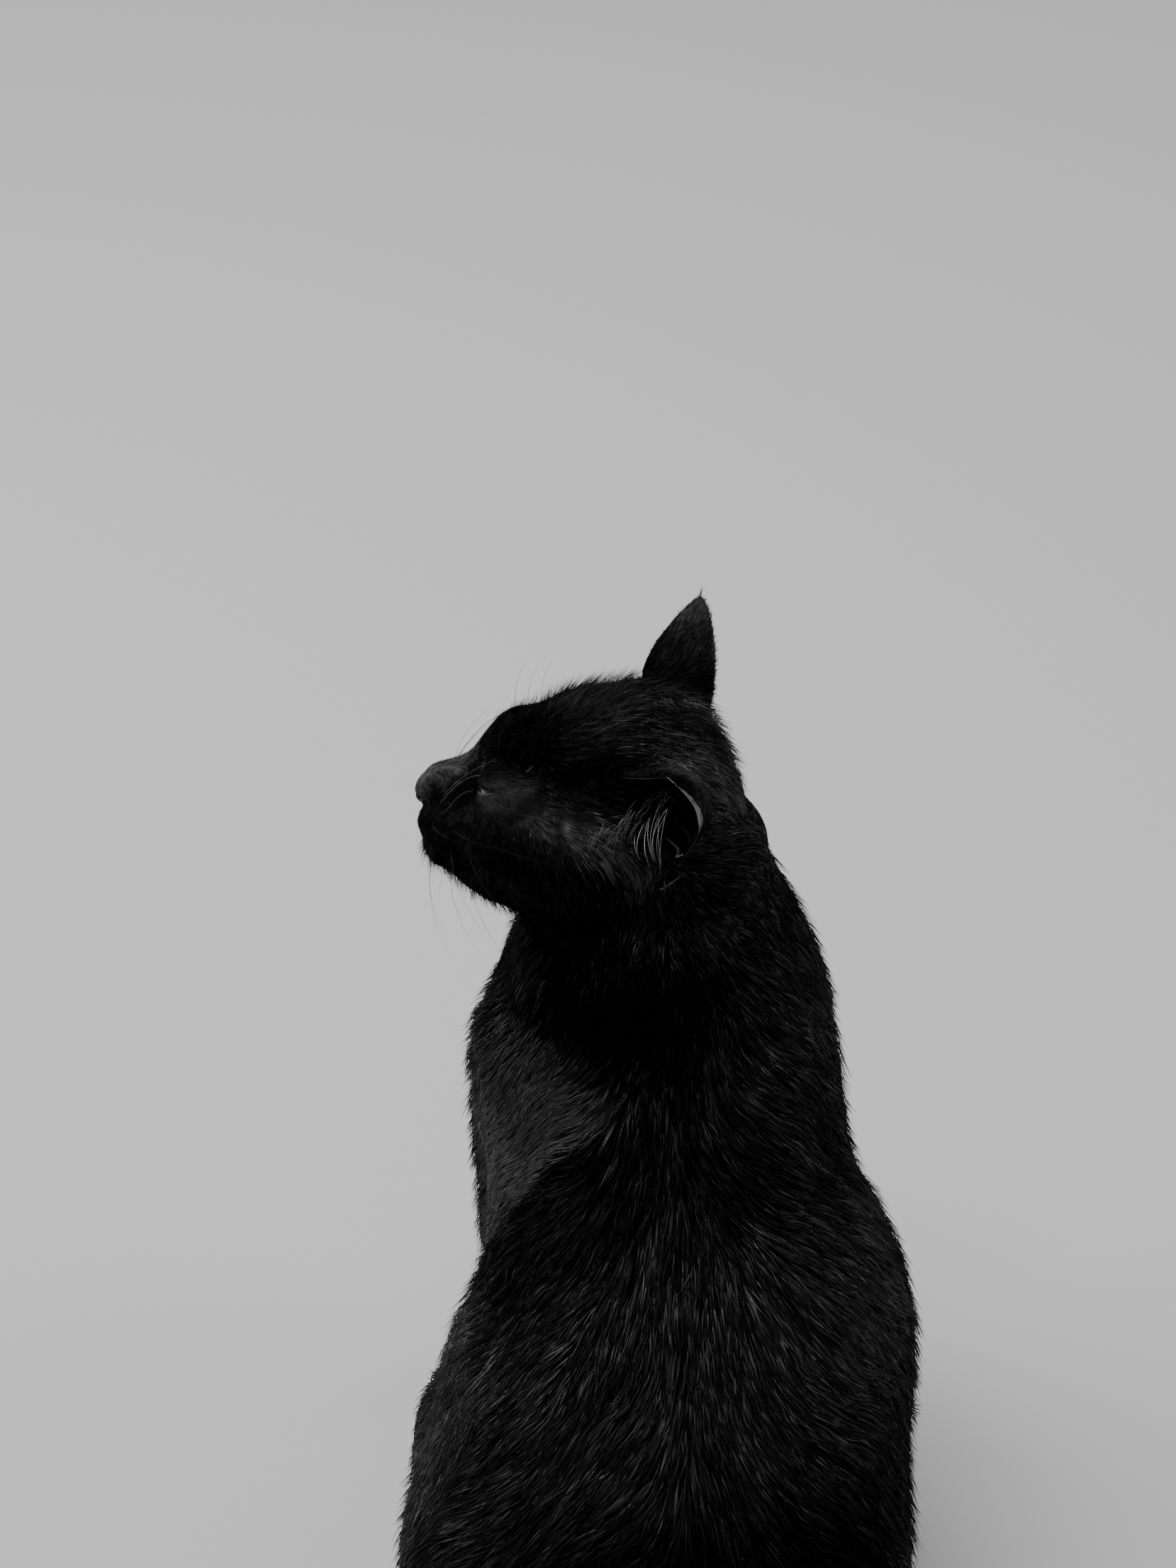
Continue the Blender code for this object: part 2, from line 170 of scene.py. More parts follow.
def finish(thing, material):
    thing.data.shade_smooth()
    thing.data.materials.clear()
    thing.data.materials.append(material)
    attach(thing, "root")


def arrays_of(mesh):
    """Points, triangles and edges of a mesh."""
    mesh.calc_loop_triangles()
    points = np.empty((len(mesh.vertices), 3), np.float32)
    mesh.vertices.foreach_get("co", points.ravel())
    faces = np.empty((len(mesh.loop_triangles), 3), np.int32)
    mesh.loop_triangles.foreach_get("vertices", faces.ravel())
    edges = np.empty((len(mesh.edges), 2), np.int32)
    mesh.edges.foreach_get("vertices", edges.ravel())
    return points.astype(float), faces, edges


def norm(rows):
    return np.linalg.norm(rows, axis=-1)


def unit(rows):
    return rows / np.maximum(np.linalg.norm(rows, axis=-1, keepdims=True), 1e-12)


def summed(places, rows, count):
    """Sum of the rows that go to each place."""
    return np.stack([np.bincount(places, column, count) for column in rows.T], 1)


def normals_of(points, faces):
    """Normal and area of each triangle, and the normal of each point."""
    a, b, c = (points[faces[:, k]] for k in range(3))
    cross = np.cross(b - a, c - a)
    at_points = sum(summed(faces[:, k], cross, len(points)) for k in range(3))
    return unit(cross), norm(cross) / 2, unit(at_points)


def mean_of_neighbours(values, edges):
    a, b = edges.T
    count = np.bincount(a, minlength=len(values)) + np.bincount(b, minlength=len(values))
    flat = values.reshape(len(values), -1)
    total = summed(a, flat[b], len(flat)) + summed(b, flat[a], len(flat))
    return (total / np.maximum(count, 1)[:, None]).reshape(values.shape)


def relaxed(values, edges, rounds, share=0.6):
    for _ in range(rounds):
        values = values + share * (mean_of_neighbours(values, edges) - values)
    return values


def ramp(values, low, high):
    """0 below low, 1 above high, smooth between. Low may be the greater."""
    t = np.clip((values - low) / (high - low), 0, 1)
    return t * t * (3 - 2 * t)


def bell(gap, width):
    """1 at no gap, and next to nothing at two widths."""
    return np.exp(-((gap / width) ** 2))


def placed(points, matrix):
    matrix = np.array(matrix)
    return points @ matrix[:3, :3].T + matrix[:3, 3]


def in_head(points):
    return placed(points, TO_HEAD)


def from_head(points, side=1):
    """Points of the head's left side as world points of either side."""
    return placed(np.asarray(points, float) * [1, side, 1], HEAD)


def folded(places):
    """Places in the head's frame, in millimetres, the right side laid on the left."""
    return np.stack([places[:, 0], np.abs(places[:, 1]), places[:, 2]], 1) * 1000


def mirrored(vector, side):
    return Vector((vector.x, side * vector.y, vector.z))


def off_eyes(head):
    """Distance from the middle of the nearer socket."""
    return np.minimum(*(norm(head - mirrored(EYE_CENTRE, side)) for _, side in SIDES))


def eye_place(side):
    """Frame at an eye's centre, x along its gaze, y along the slit towards the temple."""
    gaze = mirrored(GAZE, side).normalized()
    out = Vector((0, side * math.cos(SLIT_TILT), math.sin(SLIT_TILT)))
    out = (out - out.dot(gaze) * gaze).normalized()
    turned = Matrix((gaze, out, gaze.cross(out))).transposed().to_4x4()
    return HEAD @ Matrix.Translation(mirrored(BALL_CENTRE, side)) @ turned


# ---- the skin
def swollen_flesh():
    """Points, triangles and node of each triangle, of all the solids of flesh."""
    points, faces, owner, start = [], [], [], 0
    for index, name in enumerate(FLESH):
        builder = bmesh.new()
        builder.from_mesh(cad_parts[name].data)
        bmesh.ops.remove_doubles(builder, verts=builder.verts, dist=1e-6)
        builder.normal_update()
        grown = [vertex.co + vertex.normal * GROW for vertex in builder.verts]
        points += [place[:] for place in grown]
        faces += [[start + v.index for v in face.verts] for face in builder.faces]
        owner += [index] * len(builder.faces)
        start += len(grown)
        builder.free()
    return np.array(points), np.array(faces), np.array(owner)


def plug(centre, radii):
    """A ball that fills a socket of the head, so that the skin closes behind what sits in it."""
    made = ball(32, 20)
    made.data.transform(HEAD @ Matrix.Translation(centre) @ Matrix.Diagonal((*radii, 1)))
    return made


def modified(thing, kind, **settings):
    modifier = thing.modifiers.new(kind.lower(), kind)
    for name, value in settings.items():
        setattr(modifier, name, value)
    active(thing)
    bpy.ops.object.modifier_apply(modifier=modifier.name)
    return thing


def near_line(places, line):
    """Distance from each place to a line through points, and how far along it, 0 to 1."""
    line = np.array(line, float)
    steps = norm(np.diff(line, axis=0))
    best = np.full(len(places), 1e9)
    along = np.zeros(len(places))
    for i, (a, b) in enumerate(zip(line, line[1:])):
        t = np.clip((places - a) @ (b - a) / steps[i] ** 2, 0, 1)
        gap = norm(places - a - t[:, None] * (b - a))
        nearer = gap < best
        best[nearer] = gap[nearer]
        along[nearer] = ((steps[:i].sum() + t * steps[i]) / steps.sum())[nearer]
    return best, along


# creases (line, half width, depth) and swellings (centre, radius, height) of the face, in
# millimetres in the head's frame, on its left side; both sides get them
CREASES = (
    (((66, 0, -13), (63.5, 0, -19.5), (61, 4, -21.5), (53, 12.5, -20.5), (44, 17, -17.5)),
     1.0, 1.8),  # mouth
    (((68, 3, -10), (64, 7, -8.5), (60, 7.6, -4)), 1.0, 0.5),  # wing of the nose
    (((43.5, 8, 5), (49, 6.4, 1.2), (54, 6.2, -1.6)), 1.5, 0.6),  # tear line
    (((44, 17, -17), (39, 20.5, -13), (35, 22.5, -8)), 2.0, 0.6),  # cheek fold
    (((-9.7, 30, 12), (-11.8, 31, 10), (-13.5, 34, 9), (-15.2, 36, 13)), 1.1, -1.3),  # ear fold
    (((-12, 28, 16), (-14.8, 30, 13), (-17, 33, 14)), 1.0, -1.0),  # second ear fold
    (((-9.6, 33.2, -3.3), (-11.8, 32.9, -2.5), (-14.4, 31.2, 0.2), (-17.8, 27.2, 1.8)),
     0.9, -1.3),  # lip of the ear's pocket
    (((-10.3, 33.8, -0.6), (-13.2, 33.2, 1.8), (-16.4, 29.2, 3.6)), 1.1, 1.6),  # the pocket
)
SWELLINGS = (
    ((54, 11.5, -12), 7.5, 0.5),  # whisker pad
    ((-9.5, 27.5, 15), 6.0, -4.2),  # ear canal
    ((41, 14, 17.5), 6.0, 0.3),  # brow
    ((33, 22, -4), 7.5, 1.3),  # cheekbone
    ((29, 25, 4), 8.0, 2.2),  # temple
    ((43, 19, -12), 6.5, 1.4),  # beside the whiskers
    ((41, 19, -4), 7.0, 1.3),  # under the eye
    ((37.5, 20.5, 16.5), 8.0, -2.2),  # outer brow
    ((60, 3.5, -2), 4.0, 0.3),  # nose root
    ((56, 0, 4.5), 6.5, -1.7),  # bridge
    ((62, 5, -15), 5.0, 0.5),  # upper lip
    ((65, 0, -12), 3.5, 1.2),  # under the nose
    ((-23, 0, 20), 8.0, -1.6),  # rear of the crown
    ((56, 3, -26), 5.0, 0.3),  # chin
)
EAR_FOLDS = (  # line, radius and tone
    (((-8.5, 28.5, 14.5), (-10.5, 30, 11.5), (-12, 31, 10), (-13.5, 34, 9.3), (-15.2, 36, 12.5)),
     0.50, 0.22),
    (((-10.5, 27.5, 17), (-13, 29.5, 15), (-16, 32.5, 14.5)), 0.40, 0.08),
    (((-9.0, 33.6, -4.2), (-11.4, 33.6, -3.4), (-13.9, 32.2, -0.9), (-17.0, 28.8, 1.2),
      (-19.6, 26.2, 3.4)), 0.34, 0.26),
)
# how light the coat is along a line: painted sheen where the light falls on the head and painted
# shade where it doesn't; in front of the ear it is also the thinner, lighter coat there. Points
# and width in millimetres in the head's frame, level (1 is as it comes) and calm, 0 to 1, which
# evens it out. Later rows lie on top. Rows with y below 0 are on the right side alone, the
# others on both.
HEAD_SHEEN_AND_SHADE = (
    (((22, 4, 31), (6, 10, 33), (-12, 4, 28), (-26, 2, 12)), 17.0, 1.2, 0),  # crown
    (((14, 13, 30), (-2, 15, 32), (-14, 8, 28)), 8.0, 2.0, 0),  # streak over the crown
    (((-9, 17, 29), (-18, 12, 24), (-25, 4, 14)), 13.0, 5.5, 0.2),  # behind the ear
    (((-12, 30, 33), (-16, 37, 36)), 9.0, 4.0, 0.2),  # rear of the ear's back
    (((-24, 22, -2), (-28, 4, -6)), 11.0, 0.6, 0),  # foot of the nape
    (((53, 0, 11), (46, 6, 17), (33, 8, 26)), 12.0, 0.20, 0),  # forehead
    (((41, 15, 18), (28, 19, 22), (14, 23, 25), (4, 25, 29)), 9.0, 0.04, 0),  # brow to ear
    (((43, 21, 8), (35, 23, 12), (27, 26, 10)), 8.5, 2.7, 0.4),  # under and behind the eye
    (((45, 18, -7), (33, 29, -4), (26, 33, -8)), 8.0, 0.30, 0),  # lower cheek
    (((52, 15, -9), (46, 18, -12), (38, 23, -17)), 5.0, 1.1, 0),  # whisker pad to jaw
    (((66, 2, -15), (56, 10, -19), (50, 11, -26), (54, 2, -30)), 8.0, 0.20, 0),  # lips and chin
    (((57, 14, -12), (52, 17, -15)), 5.5, 0.15, 0),  # under the whiskers
    (((4, 34, -14), (20, 26, -26), (0, 12, -38)), 16.0, 0.05, 0),  # the jaw's rear
    (((-6, 34, -8), (-18, 30, -4), (-26, 22, -12)), 9.0, 0.20, 0),  # under the ear
    (((19, 29, 9), (8, 31, 8), (-2, 32, 2)), 7.0, 3.8, 0.9),  # in front of the ear
    (((34, 28, -4), (24, 33, -2), (12, 36, 0), (2, 37, -3)), 6.5, 0.25, 0),  # under it
    (((68, 0, -3), (61, 0, 2), (54, 1, 6)), 6.5, 3.3, 1.0),  # bridge of the nose
    (((64, 6, -6), (60, 7, -2), (56, 7.5, 1), (51, 9, 4)), 4.0, 0.10, 0.3),  # side of the nose
    (((8, 24, 28), (0, 36, 37), (-6, 46, 45)), 6.0, 0.08, 0),  # back of the ear's front edge
    (((8, -16, 33), (-4, -22, 31), (-14, -24, 28)), 13.0, 0.25, 0),  # foot of the right ear
    (((0, -30, 35), (-10, -33, 36)), 10.0, 0.7, 0),  # back of the right ear
    (((-1, -38, 46), (-8, -45, 45)), 10.0, 3.2, 0.4),  # its tip
)
# the same for the body, in the world's frame: painted sheen where the light falls on it and painted
# shade where it doesn't, as on the lower back, the rump and under the jaw
BODY_SHEEN_AND_SHADE = (
    (((-8, -12, 226), (-10, 8, 242)), 34.0, 2.0, 0),  # middle of the back
    (((30, 20, 225), (35, -10, 210)), 30.0, 2.3, 0.3),  # right flank
    (((-89, 4, 186), (-95, -10, 120)), 30.0, 2.9, 0.3),  # left flank
    (((-40, -95, 100), (40, -95, 100)), 75.0, 0.5, 0),  # rump
    (((-35, -60, 165), (30, -52, 165)), 36.0, 0.22, 0),  # lower back
    (((-12, 18, 255), (-30, 38, 280)), 22.0, 0.7, 0),  # between the shoulders
    (((-60, 52, 292), (-30, 50, 300)), 30.0, 0.04, 0),  # neck under the jaw
    (((-12, 96, 335), (-4, 78, 318)), 12.0, 0.9, 0),  # right of the nape
)
# the fold where the back bulges over the left shoulder, in metres, and the back's side of it
SHOULDER_FOLD = ((-0.031, 0.041, 0.281), (-0.043, 0.0325, 0.266), (-0.062, 0.027, 0.241),
                 (-0.076, 0.030, 0.213), (-0.083, 0.035, 0.188))
FOLD_SIDE = (0.72, -0.50, -0.48)
FOLD_DEPTH, FOLD_BULGE = 0.0030, 0.0034  # of the groove, and of the back beside it
BODY_SWELLINGS = (  # centre, radius and height in metres
    ((-0.0045, 0.101, 0.325), 0.013, 0.0030),  # nape
    ((0.046, -0.012, 0.175), 0.035, -0.0030),  # right of the back
    ((-0.107, 0.027, 0.118), 0.022, -0.0036),  # left haunch
    ((-0.101, 0.000, 0.160), 0.015, -0.0016),  # above it
    ((-0.083, 0.052, 0.250), 0.025, -0.0017),  # left of the chest
)


def over_fold(places):
    """How far past the shoulder's fold each place is, less than 0 on the shoulder, and how
    much of the fold and of its shade there is beside it."""
    gap, along = near_line(places, SHOULDER_FOLD)
    line = through(SHOULDER_FOLD, 60)
    beside = line[(along * 59).round().astype(int)]
    past = np.where((places - beside) @ FOLD_SIDE > 0, gap, -gap)
    begun = ramp(along, 0.0, 0.22)
    return past, begun * ramp(along, 1.0, 0.85), begun * ramp(along, 1.0, 0.45)


TOE_REACH, TOE_GROOVE, TOE_WIDTH = 0.022, 0.0017, 0.0012  # from the tips back, depth, half width


def between_toes(places, names):
    """How deep each place lies in one of the three grooves between a foot's toes."""
    deep = np.zeros(len(places))
    for foot in FEET:
        low, high = (np.array(corner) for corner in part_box(foot))
        toes = min(TOE_REACH, 0.6 * (high[1] - low[1]))
        fade = ramp(places[:, 1], high[1] - toes, high[1] - 0.5 * toes) * (names == foot)
        for share in (0.27, 0.5, 0.73):
            aside = places[:, 0] - (low[0] + share * (high[0] - low[0]))
            deep += TOE_GROOVE * fade * bell(aside, TOE_WIDTH)
    return deep


def lid_gap(places, side):
    """How far outside the opening between the lids each place is, and the places in the
    eye's frame. Inside it the gap is negative."""
    local = placed(places, eye_place(side).inverted())
    across, high = local[:, 1] - SLIT_MIDDLE, local[:, 2] - SLIT_RISE
    reach = np.clip(1 - (across / SLIT_WIDE) ** 2, 0, 1)
    above, below = high - LID_UP * reach**0.75, -LID_LOW * reach - high
    gap = np.maximum(np.maximum(above, below), np.abs(across) - SLIT_WIDE)
    far = norm(local)
    return np.where(local[:, 0] > 0.25 * far, gap, 1.0), local


LID_NEAR, LID_THICK = 0.0004, 0.0009  # from the eyeball to the lid's edge, and on to its middle
LID_FOLD, LID_FOLD_WIDTH, LID_FOLD_DEPTH = 0.0027, 0.0006, 0.0006  # off the opening
FINE_FACE = (0.026, -0.035)  # in front of the one and above the other the skin is finer
FINE_EAR = (0.0285, 0.012)  # as is what is farther aside and higher than these
REAR_ROUNDS = 27  # more rounds of smoothing at the rear of the head
SMOOTHING = (0.62, -0.63)  # there and back, so that nothing shrinks
THINNEST = 0.88  # share of the coat's depth that is missing where it is thinnest


def lidded(skin):
    """Draws lids over the eyeballs, with a soft fold above them."""
    for _, side in SIDES:
        gap, local = lid_gap(skin, side)
        far = norm(local)
        near = ramp(gap, 0.0050, 0.0024) * ramp(far, EYE_RADIUS + 0.007, EYE_RADIUS + 0.004)
        lid = EYE_RADIUS + LID_NEAR + LID_THICK * ramp(gap, 0.0, 0.0014)
        fold = bell(gap - LID_FOLD, LID_FOLD_WIDTH) * (local[:, 2] > 0.001)
        lid = np.where(gap < 0, EYE_RADIUS - LID_THICK, lid - LID_FOLD_DEPTH * fold)
        reach = far + near * (lid - far)
        cover = EYE_RADIUS + LID_THICK
        over = 0.5 * (reach + cover + np.hypot(reach - cover, 0.0008))
        reach = reach + ramp(gap, 0.0014, 0.0024) * (over - reach)
        moved = local * (reach / np.maximum(far, 1e-6))[:, None]
        close = far < EYE_RADIUS + 0.012
        skin = np.where(close[:, None], placed(moved, eye_place(side)), skin)
    return skin


def grown_skin():
    """The bare body: the solids made one, softened, detailed and drawn in by the coat."""
    points, faces, owner = swollen_flesh()
    flesh = object_of("skin", points, faces)
    fills = [plug(mirrored(EYE_CENTRE, side), (SOCKET_PLUG,) * 3) for _, side in SIDES]
    fills.append(plug(NOSE_CENTRE, NOSE_PLUG))
    active(flesh)
    for fill in fills:
        fill.select_set(True)
    bpy.ops.object.join()
    modified(flesh, "REMESH", mode="VOXEL", voxel_size=SKIN_VOXEL)

    builder = bmesh.new()
    builder.from_mesh(flesh.data)
    fine = []
    for edge in builder.edges:
        place = TO_HEAD @ ((edge.verts[0].co + edge.verts[1].co) / 2)
        on_face = place.x > FINE_FACE[0] and place.z > FINE_FACE[1]
        on_ear = abs(place.y) > FINE_EAR[0] and place.z > FINE_EAR[1]
        if place.length < HEAD_REACH and (on_face or on_ear):
            fine.append(edge)
    bmesh.ops.subdivide_edges(builder, edges=fine, cuts=1, use_grid_fill=True)
    bmesh.ops.triangulate(builder, faces=builder.faces)
    builder.to_mesh(flesh.data)
    builder.free()

    tree = BVHTree.FromPolygons(points.tolist(), faces.tolist())
    skin, triangles, edges = arrays_of(flesh.data)
    nearest = [tree.find_nearest(place)[2] for place in skin.tolist()]
    names = np.array(FLESH)[owner[nearest]]
    mine = COAT_TABLE[owner[nearest]]
    rear = REAR_ROUNDS * (names == "head") * ramp(in_head(skin)[:, 0], 0.0, -0.020)
    rounds = relaxed(mine[:, 3] + rear, edges, 6)
    most = int(COAT_TABLE[:, 3].max())
    for turn in range(most):
        move = np.clip(rounds - turn, 0, 1)[:, None]
        for share in SMOOTHING:
            skin = skin + share * move * (mean_of_neighbours(skin, edges) - skin)

    depth = relaxed(mine[:, 0], edges, 60) / 1000
    head = in_head(skin)
    near_face = names == "head"
    near_ear = near_face | (names == "ear_left") | (names == "ear_right")
    off_eye = off_eyes(head)
    off_nose = norm(head - NOSE_CENTRE)
    thin = np.maximum(ramp(off_eye, 0.020, 0.012), ramp(head[:, 0], 0.020, 0.055) * 0.75)
    thin = np.maximum(thin, ramp(off_nose, 0.016, 0.007)) * near_face
    depth = depth * (1 - THINNEST * relaxed(thin, edges, 4))
    depth *= ramp(skin[:, 2], 0.0002, 0.006)
    _, _, outward = normals_of(skin, triangles)
    outward = unit(relaxed(outward, edges, 3))
    shift = -depth

    left = folded(head)
    for line, width, deep in CREASES:
        gap, along = near_line(left, line)
        shift -= near_ear * deep / 1000 * bell(gap, width) * (1 - along**4)
    for centre, radius, high in SWELLINGS:
        shift += near_ear * high / 1000 * bell(norm(left - centre), radius)
    past, fold, _ = over_fold(skin)
    shift -= FOLD_DEPTH * fold * bell(past, 0.0040)
    shift += FOLD_BULGE * fold * ramp(past, -0.001, 0.0035) * ramp(past, 0.030, 0.008)
    for centre, radius, high in BODY_SWELLINGS:
        shift += high * bell(norm(skin - centre), radius)
    shift -= between_toes(skin, names)
    skin = lidded(skin + outward * shift[:, None])
    put_points(flesh.data, skin)
    modified(flesh, "DECIMATE", ratio=SKIN_FACES / len(triangles), use_collapse_triangulate=True)
    return flesh, tree, owner


SPINE_HEIGHTS = (0.10, 0.14, 0.176, 0.244, 0.30)  # where the back's ridge runs, in metres
SPINE_ASIDE = (-0.031, -0.026, -0.020, -0.029, -0.029)
WAVE = 0.20  # how far the lie of the coat wanders, in radians
DRIFT = 0.0055  # how far the edges of pieces and of the painted sheen and shade are frayed
DOWN_CHEEK, DOWN_FOLD = 3.8, 3.0  # how strongly hair is drawn down the cheek and along the fold
EARS = ("ear_left", "ear_right")


class Pelt:
    """The skin as arrays, with the lie of the coat over it."""

    def __init__(self, skin, tree, owner, chance):
        self.points, self.faces, self.edges = arrays_of(skin.data)
        self.normals, self.areas, self.outward = normals_of(self.points, self.faces)
        self.centres = self.points[self.faces].mean(axis=1)
        self.weight = np.bincount(self.faces.ravel(), minlength=len(self.points))  # faces at each
        nearest = [tree.find_nearest(place)[2] for place in self.centres.tolist()]
        self.owner = owner[nearest]
        self.head = in_head(self.centres)
        self.tree = BVHTree.FromPolygons(self.points.tolist(), self.faces.tolist())
        drift = chance.normal(0, DRIFT, self.centres.shape)
        self.near, self.near_head = self.centres + drift, self.head + drift
        beside = owner[[tree.find_nearest(place)[2] for place in self.near.tolist()]]
        fixed = [FLESH.index(name) for name in FLESH if "ear" in name or "paw" in name]
        kept = np.isin(self.owner, fixed) | np.isin(beside, fixed)
        self.holder = np.where(kept, self.owner, beside)
        self.lie = self.lie_of_coat(chance)

    def on(self, *names):
        """Which faces lie on these nodes."""
        return np.isin(self.owner, [FLESH.index(name) for name in names])

    def far_from(self, starts):
        """Distance over the skin from the nearest of these points to each point."""
        a, b = self.edges.T
        length = norm(self.points[a] - self.points[b])
        ways = [[] for _ in self.points]
        for i, j, step in zip(a.tolist(), b.tolist(), length.tolist()):
            ways[i].append((j, step))
            ways[j].append((i, step))
        far = [1e9] * len(ways)
        for start in starts:
            far[start] = 0
        queue = [(0, start) for start in starts]
        while queue:
            here, i = heapq.heappop(queue)
            if here > far[i]:
                continue
            for j, step in ways[i]:
                if here + step < far[j]:
                    far[j] = here + step
                    heapq.heappush(queue, (far[j], j))
        return np.array(far)

    def away_from(self, starts):
        """The way over the skin that leads away from these points."""
        far = relaxed(self.far_from(starts), self.edges, 12)
        a, b = self.edges.T
        along = self.points[b] - self.points[a]
        slope = (far[b] - far[a]) / np.maximum(norm(along), 1e-9) ** 2
        pull = along * slope[:, None]
        return unit(summed(a, pull, len(far)) + summed(b, pull, len(far)))

    def lie_of_coat(self, chance):
        """The way the hair points on each face: on the head away from the nose and down over
        the cheeks, on the body away from the head."""
        on_head = np.zeros(len(self.points), bool)
        on_head[self.faces[self.on("head", *EARS)].ravel()] = True
        head = in_head(self.points)
        nose = int(np.argmin(norm(head - NOSE_CENTRE)))
        field = self.away_from([nose])
        cheek = ramp(head[:, 2], 0.013, -0.004) * ramp(head[:, 0], -0.035, -0.005)
        cheek = cheek * ramp(head[:, 0], 0.066, 0.052)
        field = field + DOWN_CHEEK * cheek[:, None] * -np.array(HEAD.to_3x3().col[2])
        body = self.away_from(np.flatnonzero(on_head).tolist())
        aside = self.points[:, 0] - np.interp(self.points[:, 2], SPINE_HEIGHTS, SPINE_ASIDE)
        fan = 0.75 * np.clip(aside / 0.035, -1, 1) * ramp(self.outward[:, 1], 0.5, 0.0)
        fan = fan * ramp(self.points[:, 2], 0.06, 0.14)
        body = body + fan[:, None] * [1, 0, 0]
        past, fold, _ = over_fold(self.points)
        panel = DOWN_FOLD * fold * ramp(past, 0.002, -0.004) * ramp(past, -0.060, -0.040)
        body = body + panel[:, None] * unit(np.array(SHOULDER_FOLD[3]) - SHOULDER_FOLD[1])
        field = np.where(on_head[:, None], field, body)
        for _ in range(25):
            field -= (field * self.outward).sum(1, keepdims=True) * self.outward
            field = relaxed(unit(field), self.edges, 1)
        wave = relaxed(chance.normal(0, 1, len(self.points)), self.edges, 45)
        wave = WAVE * wave / wave.std()
        field = unit(field + wave[:, None] * np.cross(self.outward, field))
        return unit(field[self.faces].mean(axis=1))

    def unwrap(self):
        """Each face's place on an unwrap of the skin's own shape."""
        deselect()
        copy = object_of("unwrap", self.points, self.faces)
        active(copy)
        bpy.ops.object.mode_set(mode="EDIT")
        bpy.ops.mesh.select_all(action="SELECT")
        bpy.ops.uv.smart_project(angle_limit=math.radians(66), island_margin=0.001)
        bpy.ops.object.mode_set(mode="OBJECT")
        corners = np.empty((len(copy.data.loops), 2), np.float32)
        copy.data.uv_layers.active.data.foreach_get("uv", corners.ravel())
        bpy.data.objects.remove(copy)
        return corners.reshape(-1, 3, 2).mean(axis=1)


# ---- the coat
FACE_REAR, CHEST_MIDDLE, TRUNK_MIDDLE = 0.008, -0.028, -0.0311  # where pieces meet
BELLY = 0.15  # faces that look this much forward are the belly's


def in_face(pelt):
    return pelt.near_head[:, 0] > FACE_REAR


def of_back(pelt):
    return pelt.normals[:, 1] < BELLY


# piece: nodes, number of hairs, how much they gather in locks, and which faces of the nodes
PIECES = {
    "coat_face_left": (("head",), 30000, 0.15, lambda p: in_face(p) & (p.head[:, 1] > 0)),
    "coat_face_right": (("head",), 17500, 0.15, lambda p: in_face(p) & (p.head[:, 1] <= 0)),
    "coat_crown": (("head",), 17000, 0.4, lambda p: ~in_face(p)),
    "coat_ears": (EARS, 14000, 0.1, None),
    "coat_neck": (("neck",), 15000, 0.5, None),
    "coat_shoulder_left": (("chest",), 12500, 0.5, lambda p: p.near[:, 0] < CHEST_MIDDLE),
    "coat_shoulder_right": (("chest",), 12500, 0.5, lambda p: p.near[:, 0] >= CHEST_MIDDLE),
    "coat_back_left": (("trunk",), 17200, 0.6,
                       lambda p: (p.near[:, 0] < TRUNK_MIDDLE) & of_back(p)),
    "coat_back_right": (("trunk",), 17200, 0.6,
                        lambda p: (p.near[:, 0] >= TRUNK_MIDDLE) & of_back(p)),
    "coat_belly": (("trunk",), 4500, 0.5, lambda p: ~of_back(p)),
    "coat_thighs": (("hindleg_left", "hindleg_right"), 13400, 0.4, None),
    "coat_forelegs": (("foreleg_left", "foreleg_right"), 5000, 0.35, None),
    "coat_feet": (FEET, 11200, 0.1, None),
    "coat_tail": (("tail_base", "tail_middle", "tail_tip"), 6600, 0.45, None),
}
SHORT = ("coat_face_left", "coat_face_right", "coat_ears", "coat_feet")  # of straight hairs
PATCH = 0.003  # size of a tuft's place on the baked map
# faces of one hair, then how far along it and across it each of its points is
BENT_HAIR = (((0, 1, 2), (0, 3, 4), (0, 4, 1), (1, 4, 5), (1, 5, 2), (2, 5, 3), (2, 3, 0),
              (3, 6, 4), (4, 6, 5), (5, 6, 3)),
             (0, 0, 0, 0.5, 0.5, 0.5, 1), (0, 1, 0.5, 0, 1, 0.5, 0.5))
STRAIGHT_HAIR = (((0, 1, 2), (0, 3, 1), (1, 3, 2), (2, 3, 0)), (0, 0, 0, 1), (0, 1, 0.5, 0.5))
FLOOR = 0.0003  # no hair reaches lower
SHADED_ROOT_TONE = 0.4  # how light the root of a hair is beside its tip: painted shade down in the coat, painted sheen towards the tip
PER_LOCK = 6  # hairs
CALM_TONE = 0.27  # of every hair where the coat is calm
LOOSE_WIDTH = 0.00024  # of a hair that stands loose, at least
ROOT_DEPTH = 0.0003  # under the skin
MIDDLE_HIGH, TIP_HIGH = 0.80, 0.90  # of a hair, in depths of the coat
HAIR_TURN, LOCK_TURN = 0.08, 0.10  # how far a hair and its lock stray from the lie of the coat
LOCK_TONE, HAIR_TONE = (0.45, 0.55, 1.5), (0.10, 0.90, 2.2)  # least, what is added, and its power


